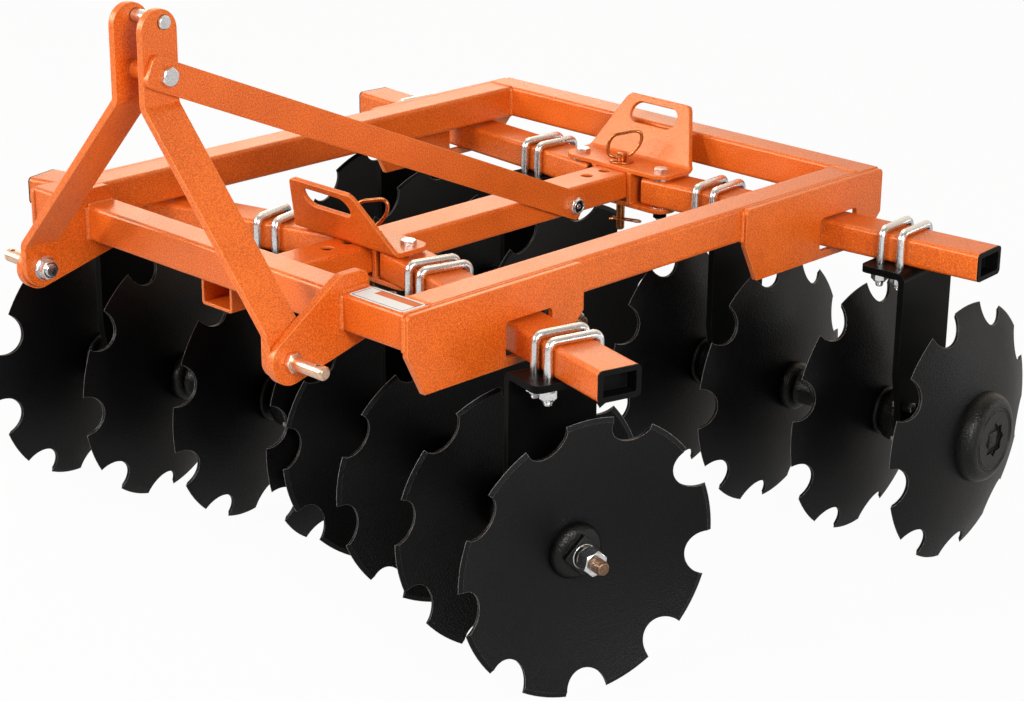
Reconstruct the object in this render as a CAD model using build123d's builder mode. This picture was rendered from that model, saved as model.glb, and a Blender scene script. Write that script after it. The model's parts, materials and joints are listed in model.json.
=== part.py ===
from build123d import *
import math
import os

os.makedirs("parts", exist_ok=True)

# Compact tandem disc harrow for a three-point hitch.
# Millimetres, +Z up, the tractor side at -Y, the machine's left at +X.
# Origin: on the ground, half way along and across the welded frame.

# ---- discs and gangs ----
disc_d = 457.2          # over the teeth
disc_t = 5.0
disc_depth = 45.0       # rim plane to the flat centre, over the bulging face
disc_flat_r = 48.0      # flat centre that the spools clamp
disc_grind = 8.0        # width of the ground edge
disc_pitch = 195.0      # disc to disc along the axle
disc_count = 4
notch_count = 9
notch_r = 37.0
notch_depth = 39.0
axle_sq = 28.0          # square gang axle
axle_fit = 0.4          # play of the square holes
spool_bore = 40.2
spool_end_r = 44.0
spool_neck_r = 25.0
spool_end_t = 9.0
boss_r = 45.0           # nut end, in the hollow of the end disc
boss_t = 10.0
washer_sq = 60.0
washer_t = 8.0
nut_af = 44.0
nut_h = 24.0
thread_d = 27.0
thread_out = 35.0       # thread beyond the nut
bell_r = 76.0           # head end, on the bulge of the end disc
bell_lip = 5.0
bell_ring_r = 50.0
front_bell_h = 14.0     # short, where the two front gangs come close
rear_bell_h = 26.0
head_sq = 32.0
head_h = 8.0

# ---- gang beams, standards and U-bolts ----
beam_w = 75.0
beam_h = 50.0
beam_wall = 5.0
beam_corner = 8.0
beam_gap = 5.0          # below the rails and inside the guide slots
cap_t = 2.5             # flange of the end cap, over the tube's wall
cap_plug = 26.0         # its hollow plug, inside the tube
cap_wall = 3.0
cap_fit = 0.4
std_t = 12.0
std_w = 160.0
std_foot = 90.0         # flange under the beam
std_taper = 100.0       # where the blade starts to narrow, above the axle
std_end_r = 56.0
bearing_r = 48.0
bearing_l = 45.0
bearing_play = 1.0
ubolt_d = 12.7
ubolt_gap = 38.0        # between the two U-bolts of a standard
ubolt_from_blade = 44.0 # blade to the middle of the pair
ubolt_nut_af = 19.0
ubolt_nut_h = 11.0
ubolt_tail = 9.0
ubolt_bend = 12.0       # of the rod's middle line
ubolt_fit = 0.3

# ---- welded frame ----
frame_w = 914.0
frame_l = 1155.0
disc_room = 55.8        # from the top of the discs to the beams
tube = 60.0
tube_wall = 5.0
tube_corner = 7.0
guide_t = 10.0
guide_l = 378.0
guide_h = 131.0
guide_drop = 2.0
guide_nose = (34.0, 66.0)
guide_tail = 52.0
slot_l = 103.0
slot_start = 205.0      # from the guide plate's front edge
centre_w = 75.0
centre_h = 50.0
centre_wall = 5.0
centre_l = 1111.0
hole_d = 22.0           # lock pin holes
hole_pitch = 47.0
hole_count = 3

# ---- adjusters ----
pivot_x = 97.0
pivot_d = 16.0
pivot_fit = 0.5
pivot_af = 24.0
pivot_head = 8.0
front_angle = 14.38     # of the gangs, as parked
rear_angle = 5.04
rear_pivot_in = 18.0    # the rear beams' pivot hole is ahead of their middle
plate_t = 8.0
slide_gap = 0.5
flange_w = 250.0
flange_in = 28.0        # from the pivots toward the machine's middle
flange_out = 50.0       # from the pivots to the bend of the grip
grip_base = 241.0
grip_top = 145.0
grip_h = 118.0
grip_corner = 27.0
grip_lean = 28.0
grip_slot = (114.0, 41.0)
grip_slot_h = 85.0      # slot's middle, up the grip plate
clamp_half = 28.5
clamp_gap = 1.0         # under the beams
cheek_t = 9.0
pin_d = 16.0
pin_fit = 0.4
pin_head = 15.0         # above its washer
pin_washer = (22.0, 3.0)
pin_below = 122.0       # below the top of the centre tube
ring_wire = 5.6         # pull ring, standing in its pin's head
ring_r = 28.5
ring_tilt = 23.0
front_pin_turn = -46.0
rear_pin_turn = -25.0
beam_inner = 30.0       # beam beyond its pivot
front_reach = 256.2     # beam beyond its guide slot
rear_reach = 302.6

# ---- three-point hitch ----
lug_t = 14.0
lug_x = 308.0           # inner face
lug_r = 37.0            # about the lower pin
lug_rise = 27.0         # above the frame's top
lug_shoulder = 40.0     # ahead of the tube
lug_heel = 18.0         # over the tube's rear edge
mast_t = 12.0
mast_w = 66.0
mast_set = 3.0          # its middle ahead of the lower pins
mast_gap = 56.0
mast_top = 398.0        # above the frame's top
mast_bend = 250.0
mast_knee = -40.0
hitch_y = -675.0
hitch_drop = 84.0       # lower pins, below the frame's top
lower_pin_d = 22.0
lower_pin_l = 65.0
lower_collar = 10.0
lower_af = 29.0
top_pin_d = 22.0
top_pin_fit = 0.9
top_pin_out = 5.0       # beyond the mast bars
top_pin_z = 377.0
top_pin_y = -669.0
brace_t = 10.0
brace_w = 50.0
brace_bolt_z = 297.0
brace_bolt_y = -673.0
brace_foot_y = 223.0
brace_foot_z = -87.0
bolt_d = 18.0
bolt_fit = 0.4
bolt_af = 28.0
bolt_head = 10.0
bolt_tail = 6.0         # thread beyond its nut
spacer_r = 15.0

# ---- places that follow from the sizes ----
disc_r = disc_d / 2
frame_top = disc_d + disc_room + beam_h + beam_gap + tube
axle_z = disc_r
tube_z = frame_top - tube / 2
tube_bottom = frame_top - tube
centre_top = tube_bottom
centre_z = centre_top - centre_h / 2
beam_top = tube_bottom - beam_gap
beam_bottom = beam_top - beam_h
beam_z = beam_top - beam_h / 2
guide_x = frame_w / 2 + guide_t / 2
guide_mid = guide_x - pivot_x
front_slot_y = -frame_l / 2 + slot_start + slot_l / 2
rear_slot_y = frame_l / 2 - guide_l + slot_start + slot_l / 2
front_pivot_y = front_slot_y + guide_mid * math.tan(math.radians(front_angle))
rear_line_y = rear_slot_y - guide_mid * math.tan(math.radians(rear_angle))
rear_pivot_y = rear_line_y - rear_pivot_in / math.cos(math.radians(rear_angle))
flat_to_ball = (disc_r**2 - disc_flat_r**2 + disc_depth**2) / (2 * disc_depth)
ball_r = math.hypot(flat_to_ball, disc_flat_r)
dish_drop = math.sqrt(ball_r**2 - disc_flat_r**2) - math.sqrt(ball_r**2 - bell_r**2)
ball_z = disc_depth - flat_to_ball
spool_l = disc_pitch - (disc_depth - ball_z - math.sqrt((ball_r - disc_t)**2 - disc_flat_r**2))
flange_z = centre_top + slide_gap
clamp_z = beam_bottom - clamp_gap - plate_t


def on_ball(r, ball):
    """Height at radius r of a ball about the disc's centre of curvature."""
    return ball_z + math.sqrt(ball**2 - r**2)


# =====================================================================
# frame: two cross tubes, two rails, guide plates and the centre tube
# =====================================================================
with BuildPart() as front_cross_tube:
    with BuildSketch(Plane.YZ.offset(-frame_w / 2)):
        with Locations((-frame_l / 2 + tube / 2, tube_z)):
            RectangleRounded(tube, tube, tube_corner)
            RectangleRounded(tube - 2 * tube_wall, tube - 2 * tube_wall, tube_corner - tube_wall,
                             mode=Mode.SUBTRACT)
    extrude(amount=frame_w)

with BuildPart() as rear_cross_tube:
    with BuildSketch(Plane.YZ.offset(-frame_w / 2)):
        with Locations((frame_l / 2 - tube / 2, tube_z)):
            RectangleRounded(tube, tube, tube_corner)
            RectangleRounded(tube - 2 * tube_wall, tube - 2 * tube_wall, tube_corner - tube_wall,
                             mode=Mode.SUBTRACT)
    extrude(amount=frame_w)

front_cross_tube.part.label = "front_cross_tube"
rear_cross_tube.part.label = "rear_cross_tube"
export_step(front_cross_tube.part, "parts/front_cross_tube.step")
export_step(rear_cross_tube.part, "parts/rear_cross_tube.step")

rail_l = frame_l - 2 * tube
for side_name, side in (("left", 1), ("right", -1)):
    with BuildPart() as rail:
        with BuildSketch(Plane.XZ):
            with Locations((side * (frame_w - tube) / 2, tube_z)):
                RectangleRounded(tube, tube, tube_corner)
                RectangleRounded(tube - 2 * tube_wall, tube - 2 * tube_wall,
                                 tube_corner - tube_wall, mode=Mode.SUBTRACT)
        extrude(amount=rail_l / 2, both=True)
    rail.part.label = f"{side_name}_side_rail"
    export_step(rail.part, f"parts/{side_name}_side_rail.step")

    # two guide plates on the outside of each rail, their slots ahead of the tail
    guide_top = frame_top - guide_drop
    with BuildPart() as guides:
        for y0 in (-frame_l / 2, frame_l / 2 - guide_l):
            face_x = frame_w / 2 if side > 0 else -frame_w / 2 - guide_t
            with BuildSketch(Plane.YZ.offset(face_x)):
                with BuildLine():
                    Polyline(
                        (y0, guide_top),
                        (y0 + guide_l, guide_top),
                        (y0 + guide_l, guide_top - guide_h + guide_tail),
                        (y0 + guide_l - guide_tail, guide_top - guide_h),
                        (y0 + guide_nose[0], guide_top - guide_h),
                        (y0, guide_top - guide_h + guide_nose[1]),
                        close=True,
                    )
                nose = make_face()
                fillet(nose.vertices().group_by(Axis.Y)[-1], 10)
                with Locations((y0 + slot_start + slot_l / 2, beam_z)):
                    RectangleRounded(slot_l, beam_h + 2 * beam_gap, 9, mode=Mode.SUBTRACT)
            extrude(amount=guide_t)
    guides.part.label = f"{side_name}_guide_plates"
    export_step(guides.part, f"parts/{side_name}_guide_plates.step")

with BuildPart() as centre_tube:
    with BuildSketch(Plane.XZ):
        with Locations((0, centre_z)):
            RectangleRounded(centre_w, centre_h, 6)
            RectangleRounded(centre_w - 2 * centre_wall, centre_h - 2 * centre_wall, 1.5,
                             mode=Mode.SUBTRACT)
    extrude(amount=centre_l / 2, both=True)
    with BuildSketch(Plane.XY.offset(centre_top - centre_h)):
        for hole in range(hole_count):
            with Locations((0, front_pivot_y - hole * hole_pitch),
                           (0, rear_pivot_y - hole * hole_pitch)):
                Circle(hole_d / 2)
    extrude(amount=centre_h, mode=Mode.SUBTRACT)
    with BuildSketch(Plane.YZ):
        with Locations((brace_foot_y, frame_top + brace_foot_z)):
            Circle(bolt_d / 2 + bolt_fit)
    extrude(amount=centre_w, both=True, mode=Mode.SUBTRACT)
centre_tube.part.label = "centre_tube"
export_step(centre_tube.part, "parts/centre_tube.step")

# =====================================================================
# three-point hitch: lugs, bent mast bars, braces, pins
# =====================================================================
hitch_z = frame_top - hitch_drop
with BuildPart() as hitch_lugs:
    for x0 in (lug_x, -lug_x - lug_t):
        with BuildSketch(Plane.YZ.offset(x0)):
            with Locations((hitch_y, hitch_z)):
                Circle(lug_r)
            with Locations((-frame_l / 2 + 14, frame_top + lug_rise - lug_shoulder)):
                Circle(lug_shoulder)
            with Locations((-frame_l / 2 + tube - 3 - lug_heel, frame_top + lug_rise - lug_heel)):
                Circle(lug_heel)
            with Locations((-frame_l / 2 + tube - 9, tube_bottom - 17)):
                Circle(6)
            make_hull()
            with Locations((-frame_l / 2 + tube / 2, tube_z)):
                RectangleRounded(tube, tube, tube_corner - 1, mode=Mode.SUBTRACT)
            with Locations((hitch_y, hitch_z)):
                Circle(lower_pin_d / 2 + 0.4, mode=Mode.SUBTRACT)
        extrude(amount=lug_t)
hitch_lugs.part.label = "hitch_lugs"
export_step(hitch_lugs.part, "parts/hitch_lugs.step")

mast_x = (mast_gap + mast_t) / 2
mast_foot_x = lug_x - mast_t / 2
mast_foot = hitch_z - 30
with BuildPart() as mast_bars:
    for side in (1, -1):
        with BuildSketch(Plane.XZ.offset(mast_set - hitch_y - mast_w / 2)):
            with BuildLine():
                FilletPolyline(
                    (side * mast_x, frame_top + mast_top),
                    (side * mast_x, frame_top + mast_bend),
                    (side * mast_foot_x, frame_top + mast_knee),
                    (side * mast_foot_x, mast_foot),
                    radius=14,
                )
            trace(line_width=mast_t)
        extrude(amount=mast_w)
    ends = mast_bars.edges().filter_by(Axis.X)
    fillet(ends.group_by(Axis.Z)[-1] + ends.group_by(Axis.Z)[0], mast_w / 2 - 0.3)
    # the spacer tube is welded between the bars
    with BuildSketch(Plane.YZ):
        with Locations((brace_bolt_y, frame_top + brace_bolt_z)):
            Circle(spacer_r)
    extrude(amount=mast_gap / 2, both=True)
    with BuildSketch(Plane.YZ):
        with Locations((brace_bolt_y, frame_top + brace_bolt_z)):
            Circle(bolt_d / 2 + bolt_fit)
        with Locations((top_pin_y, frame_top + top_pin_z)):
            Circle(top_pin_d / 2 + top_pin_fit)
    extrude(amount=mast_gap, both=True, mode=Mode.SUBTRACT)
    with BuildSketch(Plane.YZ):
        with Locations((hitch_y, hitch_z)):
            Circle(lower_pin_d / 2 + 0.4)
    extrude(amount=frame_w, both=True, mode=Mode.SUBTRACT)
mast_bars.part.label = "mast_bars"
export_step(mast_bars.part, "parts/mast_bars.step")

brace_run = brace_foot_y - brace_bolt_y
brace_drop = brace_bolt_z - brace_foot_z
brace_slope = math.degrees(math.atan2(brace_drop, brace_run))
brace_l = math.hypot(brace_run, brace_drop)
bar_face = mast_x + mast_t / 2
brace_face = bar_face + brace_t

# one brace, on the left, from the mast down to the centre tube
with BuildPart() as mast_braces:
    with BuildSketch(Plane.YZ.offset(bar_face)):
        with Locations(Location((brace_bolt_y, frame_top + brace_bolt_z, 0), (0, 0, -brace_slope))):
            with Locations((brace_l / 2 - 5, 0)):
                RectangleRounded(brace_l + 60, brace_w, 12)
            Circle(bolt_d / 2 + bolt_fit, mode=Mode.SUBTRACT)
            with Locations((brace_l, 0)):
                Circle(bolt_d / 2 + bolt_fit, mode=Mode.SUBTRACT)
    extrude(amount=brace_t)
mast_braces.part.label = "mast_braces"
export_step(mast_braces.part, "parts/mast_braces.step")

# the mast's bolt has its head on the left, the centre tube's bolt its nut, over a washer
with BuildPart() as mast_bolts:
    for y, z, far_face, left_tail in ((brace_bolt_y, frame_top + brace_bolt_z, bar_face, 0),
                                      (brace_foot_y, frame_top + brace_foot_z, centre_w / 2, bolt_tail)):
        with BuildSketch(Plane.YZ.offset(-far_face - bolt_head - bolt_tail + left_tail)):
            with Locations((y, z)):
                Circle(bolt_d / 2)
        extrude(amount=far_face + brace_face + 2 * bolt_head + bolt_tail)
        for x0 in (-far_face - bolt_head, brace_face):
            with BuildSketch(Plane.YZ.offset(x0)):
                with Locations((y, z)):
                    RegularPolygon(bolt_af / 2, 6, major_radius=False)
            extrude(amount=bolt_head)
    with BuildSketch(Plane.YZ.offset(centre_w / 2)):
        with Locations((brace_foot_y, frame_top + brace_foot_z)):
            Circle(bolt_af / 2)
    extrude(amount=bar_face - centre_w / 2)
mast_bolts.part.label = "mast_bolts"
export_step(mast_bolts.part, "parts/mast_bolts.step")

with BuildPart() as top_link_pin:
    with BuildSketch(Plane.YZ.offset(-bar_face - top_pin_out)):
        with Locations((top_pin_y, frame_top + top_pin_z)):
            Circle(top_pin_d / 2)
    extrude(amount=2 * (bar_face + top_pin_out))
    chamfer(top_link_pin.edges().filter_by(GeomType.CIRCLE), 1.5)
top_link_pin.part.label = "top_link_pin"
export_step(top_link_pin.part, "parts/top_link_pin.step")

# each lower pin: hexagonal collar and pin outside its lug, shank, washer and nut inside
lug_face = lug_x + lug_t
with BuildPart() as lower_hitch_pins:
    for side in (1, -1):
        at_lug = Plane(origin=(side * lug_face, hitch_y, hitch_z), x_dir=(0, 0, 1), z_dir=(side, 0, 0))
        inside = -lug_t - mast_t
        with BuildSketch(at_lug.offset(inside - 20)):
            Circle(lower_pin_d / 2 - 1)
        extrude(amount=20 - inside)
        with BuildSketch(at_lug):
            RegularPolygon(lower_af / 2, 6, major_radius=False)
        extrude(amount=lower_collar)
        with BuildSketch(at_lug.offset(lower_collar)):
            Circle(lower_pin_d / 2)
        extrude(amount=lower_pin_l)
        chamfer(lower_hitch_pins.faces().sort_by(Axis.X)[-1 if side > 0 else 0].edges(), 3)
        with BuildSketch(at_lug.offset(inside - 3)):
            Circle(lower_pin_d - 2)
        extrude(amount=3)
        with BuildSketch(at_lug.offset(inside - 17)):
            RegularPolygon(lower_af / 2, 6, major_radius=False)
        extrude(amount=14)
    with BuildSketch(Plane.XY.offset(hitch_z - lower_pin_d)):
        with Locations((lug_face + lower_collar + lower_pin_l - 14, hitch_y),
                       (-lug_face - lower_collar - lower_pin_l + 14, hitch_y)):
            Circle(4.5)
    extrude(amount=2 * lower_pin_d, mode=Mode.SUBTRACT)
lower_hitch_pins.part.label = "lower_hitch_pins"
export_step(lower_hitch_pins.part, "parts/lower_hitch_pins.step")

# =====================================================================
# adjusters: the same part front and rear, turned about
# =====================================================================
with BuildPart() as bracket:
    with BuildSketch(Plane.YZ):
        with BuildLine():
            FilletPolyline(
                (flange_in, flange_z + plate_t / 2),
                (-flange_out, flange_z + plate_t / 2),
                (-flange_out - grip_h * math.sin(math.radians(grip_lean)),
                 flange_z + plate_t / 2 + grip_h * math.cos(math.radians(grip_lean))),
                radius=12,
            )
        trace(line_width=plate_t)
    extrude(amount=flange_w / 2, both=True)
    top_z = flange_z + plate_t + grip_h * math.cos(math.radians(grip_lean))
    with BuildSketch(Plane.XZ.offset(-flange_in - 1)):
        with BuildLine():
            Polyline(
                (-flange_w / 2, flange_z - 1),
                (flange_w / 2, flange_z - 1),
                (flange_w / 2, flange_z + plate_t),
                (grip_base / 2, flange_z + plate_t + 6),
                (grip_top / 2, top_z),
                (-grip_top / 2, top_z),
                (-grip_base / 2, flange_z + plate_t + 6),
                (-flange_w / 2, flange_z + plate_t),
                close=True,
            )
        grip_view = make_face()
        fillet(grip_view.vertices().group_by(Axis.Y)[-1], grip_corner)
    extrude(amount=2 * flange_w, mode=Mode.INTERSECT)
    upright = bracket.edges().filter_by(Axis.Z)
    fillet(upright.group_by(Axis.Y)[-1], 26)
    with BuildSketch(Plane.XY.offset(flange_z - 1)):
        with Locations((pivot_x, 0), (-pivot_x, 0)):
            Circle(pivot_d / 2 + pivot_fit)
        Circle(pin_d / 2 + pin_fit)
    extrude(amount=plate_t + 2, mode=Mode.SUBTRACT)
    lean = math.radians(grip_lean)
    grip_plane = Plane(
        origin=(0, -flange_out, flange_z + plate_t / 2),
        x_dir=(1, 0, 0),
        z_dir=(0, -math.cos(lean), -math.sin(lean)),
    )
    with BuildSketch(grip_plane):
        with Locations((0, grip_slot_h)):
            SlotOverall(*grip_slot)
    extrude(amount=plate_t, both=True, mode=Mode.SUBTRACT)

with BuildPart() as sleeve:
    with BuildSketch(Plane.XY.offset(clamp_z)):
        SlotOverall(flange_w, 2 * clamp_half + 2)
        with Locations((pivot_x, 0), (-pivot_x, 0)):
            Circle(pivot_d / 2 + pivot_fit, mode=Mode.SUBTRACT)
        Circle(pin_d / 2 + pin_fit, mode=Mode.SUBTRACT)
    extrude(amount=plate_t)
    cheek_x = centre_w / 2 + 1 + cheek_t / 2
    with BuildSketch(Plane.XY.offset(clamp_z + plate_t)):
        with Locations((cheek_x, 0), (-cheek_x, 0)):
            Rectangle(cheek_t, 2 * clamp_half)
    extrude(amount=flange_z - clamp_z - plate_t)

with BuildPart() as pivot_bolts:
    nut_top = clamp_z
    with Locations((pivot_x, 0), (-pivot_x, 0)):
        with Locations((0, 0, nut_top - 18)):
            Cylinder(pivot_d / 2, flange_z + plate_t - nut_top + 18,
                     align=(Align.CENTER, Align.CENTER, Align.MIN))
        with Locations((0, 0, beam_top + 0.3)):
            Cylinder(21, beam_gap + slide_gap - 0.3, align=(Align.CENTER, Align.CENTER, Align.MIN))
        with Locations((0, 0, clamp_z + plate_t)):
            Cylinder(21, clamp_gap - 0.3, align=(Align.CENTER, Align.CENTER, Align.MIN))
    for z0, height in ((flange_z + plate_t, pivot_head), (nut_top - 14, 14)):
        with BuildSketch(Plane.XY.offset(z0)):
            with Locations((pivot_x, 0), (-pivot_x, 0)):
                RegularPolygon(pivot_af / 2, 6, major_radius=False)
        extrude(amount=height)

# the shank is drawn above and below the centre tube only, so that it can slide;
# the ring stands up from the cross hole of the head
with BuildPart() as lock_pin:
    head_z = flange_z + plate_t + pin_washer[1]
    with BuildSketch(Plane.XY.offset(flange_z)):
        Circle(pin_d / 2)
    extrude(amount=head_z - flange_z)
    with BuildSketch(Plane.XY.offset(head_z)):
        Circle(pin_d / 2 + 1)
    extrude(amount=pin_head)
    with BuildSketch(Plane.XY.offset(flange_z + plate_t)):
        Circle(pin_washer[0])
    extrude(amount=pin_washer[1])
    with BuildSketch(Plane.XY.offset(centre_top - centre_h - slide_gap)):
        Circle(pin_d / 2)
    extrude(amount=centre_h + slide_gap - pin_below)
    chamfer(lock_pin.edges().filter_by(GeomType.CIRCLE).group_by(Axis.Z)[0], 3)
    chamfer(lock_pin.edges().filter_by(GeomType.CIRCLE).group_by(Axis.Z)[-1], 2)
    tilt = math.radians(ring_tilt)
    ring_plane = Plane(
        origin=(ring_r * math.sin(tilt), 0, head_z + pin_head / 2 + ring_r * math.cos(tilt)),
        x_dir=(0, 1, 0),
        z_dir=(math.cos(tilt), 0, -math.sin(tilt)),
    )
    with Locations(ring_plane):
        Torus(ring_r, ring_wire / 2)

adjusters = (
    # name, y of its pivots, turned about Z, its lock pin turned about Z
    ("front", front_pivot_y, 0, front_pin_turn),
    ("rear", rear_pivot_y, 180, rear_pin_turn),
)
for name, pivot_y, turn, pin_turn in adjusters:
    for piece, unit, angle in (("bracket", bracket, turn), ("sleeve", sleeve, turn),
                               ("pivot_bolts", pivot_bolts, turn), ("lock_pin", lock_pin, pin_turn)):
        placed = unit.part.moved(Location((0, pivot_y, 0), (0, 0, angle)))
        placed.label = f"{name}_{piece}"
        export_step(placed, f"parts/{name}_{piece}.step")

# =====================================================================
# units of a gang, each built once: disc, spools, standard, bearing, U-bolt
# =====================================================================
# disc: axis +Z, rim plane at z 0, bulging to +Z, a tooth's middle on +X
# both faces belong to balls about one centre; the rim is ground at a slant from the hollow side
hollow_z = on_ball(disc_flat_r, ball_r - disc_t)
mid_r = (disc_flat_r + disc_r) / 2
edge_r = disc_r - disc_grind
edge_z = on_ball(edge_r, ball_r - disc_t)
with BuildPart() as disc:
    with BuildSketch(Plane.XZ):
        with BuildLine():
            Polyline((disc_flat_r, disc_depth), (0, disc_depth), (0, hollow_z), (disc_flat_r, hollow_z))
            ThreePointArc((disc_flat_r, disc_depth), (mid_r, on_ball(mid_r, ball_r)), (disc_r, 0))
            ThreePointArc((disc_flat_r, hollow_z), (mid_r, on_ball(mid_r, ball_r - disc_t)), (edge_r, edge_z))
            Line((disc_r, 0), (edge_r, edge_z))
        make_face()
    revolve(axis=Axis.Z)
    with BuildSketch(Plane.XY.offset(-disc_t)):
        with PolarLocations(disc_r + notch_r - notch_depth, notch_count, start_angle=180 / notch_count):
            Circle(notch_r)
    extrude(amount=disc_depth + 2 * disc_t, mode=Mode.SUBTRACT)

# standard: X along the beam, its blade's outer face at x 0 and the foot to +X
foot_z = beam_bottom - std_t
with BuildPart() as standard:
    with BuildSketch(Plane.YZ):
        with Locations((0, axle_z)):
            Circle(std_end_r)
        with Locations((0, (axle_z + std_taper + beam_bottom) / 2)):
            Rectangle(std_w, beam_bottom - axle_z - std_taper)
        make_hull()
        with Locations((0, axle_z)):
            Circle(spool_neck_r + 2, mode=Mode.SUBTRACT)
    extrude(amount=std_t)
    with BuildSketch(Plane.XY.offset(foot_z)):
        with Locations((std_foot / 2, 0)):
            Rectangle(std_foot, std_w)
    extrude(amount=std_t)
    across = standard.edges().filter_by(Axis.Y)
    fillet(across.filter_by_position(Axis.X, -0.1, 0.1).group_by(Axis.Z)[-1], 16)
    inner_bend = across.filter_by_position(Axis.X, std_t - 0.1, std_t + 0.1)
    fillet(inner_bend.filter_by_position(Axis.Z, foot_z - 0.1, foot_z + 0.1), 5)
    toe = standard.edges().filter_by(Axis.Z).group_by(Axis.X)[-1]
    fillet(toe, 15)
    with BuildSketch(Plane.XY.offset(foot_z - 1)):
        for x in (ubolt_from_blade - ubolt_gap / 2, ubolt_from_blade + ubolt_gap / 2):
            leg_y = (beam_w + ubolt_d) / 2 + ubolt_fit
            with Locations((std_t / 2 + x, leg_y), (std_t / 2 + x, -leg_y)):
                Circle(ubolt_d / 2 + 0.6)
    extrude(amount=std_t + 2, mode=Mode.SUBTRACT)

# bearing: a turned housing on the foot's side of the blade
with BuildPart() as bearing:
    with BuildSketch(Plane.YZ.offset(std_t)):
        with Locations((0, axle_z)):
            Circle(bearing_r)
            Circle(spool_neck_r + bearing_play, mode=Mode.SUBTRACT)
    extrude(amount=bearing_l)
    chamfer(bearing.faces().sort_by(Axis.X)[-1].edges().sort_by(SortBy.LENGTH)[-1], 4)

# pair of U-bolts over the beam, nuts under the foot
with BuildPart() as ubolts:
    leg_y = (beam_w + ubolt_d) / 2 + ubolt_fit
    crown_z = beam_top + ubolt_d / 2 + ubolt_fit
    tail_z = foot_z - ubolt_nut_h - ubolt_tail
    for x in (ubolt_from_blade - ubolt_gap / 2, ubolt_from_blade + ubolt_gap / 2):
        with BuildLine(Plane.YZ.offset(std_t / 2 + x)) as rod:
            FilletPolyline((leg_y, tail_z), (leg_y, crown_z), (-leg_y, crown_z), (-leg_y, tail_z),
                           radius=ubolt_bend)
        with BuildSketch(Plane(rod.line @ 0, z_dir=rod.line % 0)):
            Circle(ubolt_d / 2)
        sweep(path=rod.line)
        with BuildSketch(Plane.XY.offset(foot_z - ubolt_nut_h)):
            with Locations((std_t / 2 + x, leg_y), (std_t / 2 + x, -leg_y)):
                RegularPolygon(ubolt_nut_af / 2, 6, major_radius=False)
        extrude(amount=ubolt_nut_h)

# spools: axis +Z from the bulge of one disc (z 0) to the hollow of the next
with BuildPart() as full_spool:
    with BuildSketch(Plane.XZ):
        with BuildLine():
            Polyline(
                (spool_bore / 2, 0),
                (spool_end_r, 0),
                (spool_end_r, spool_end_t),
                (30, 3 * spool_end_t),
                (30, spool_l - 3 * spool_end_t),
                (spool_end_r, spool_l - spool_end_t),
                (spool_end_r, spool_l),
                (spool_bore / 2, spool_l),
                close=True,
            )
        make_face()
    revolve(axis=Axis.Z)

# the spool of a standard: narrow where it runs through blade and bearing
with BuildPart() as bearing_spool:
    with BuildSketch(Plane.XZ):
        with BuildLine():
            Polyline(
                (spool_bore / 2, 0),
                (spool_end_r, 0),
                (spool_end_r, spool_end_t),
                (spool_neck_r, 1.5 * spool_end_t),
                (spool_neck_r, spool_l - 3 * spool_end_t - 20),
                (30, spool_l - 3 * spool_end_t - 14),
                (30, spool_l - 3 * spool_end_t),
                (spool_end_r, spool_l - spool_end_t),
                (spool_end_r, spool_l),
                (spool_bore / 2, spool_l),
                close=True,
            )
        make_face()
    revolve(axis=Axis.Z)

# =====================================================================
# the four gangs. u runs along the beam from its outer end, outward positive
# =====================================================================
gangs = (
    # name, side, pivot y, angle, beam beyond the guide slot, pivot ahead of the beam's middle, bulge,
    # first rim plane, blades' middles, foot's direction, tooth phases
    ("front_left", 1, front_pivot_y, -front_angle, front_reach, 0.0, -1, -72.0, (-185, -575), 1,
     (20.3, 1.0, 22.0, 5.0)),
    ("front_right", -1, front_pivot_y, -front_angle, front_reach, 0.0, -1, -65.5, (-185, -575), 1,
     (25.0, 13.8, 30.0, 38.5)),
    ("rear_left", 1, rear_pivot_y, rear_angle, rear_reach, rear_pivot_in, 1, -32.5, (-118, -508), -1,
     (20.0, 32.5, 8.5, 20.3)),
    ("rear_right", -1, rear_pivot_y, rear_angle, rear_reach, rear_pivot_in, 1, -32.5, (-118, -508), -1,
     (3.0, 0.8, 9.0, 32.8)),
)
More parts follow.
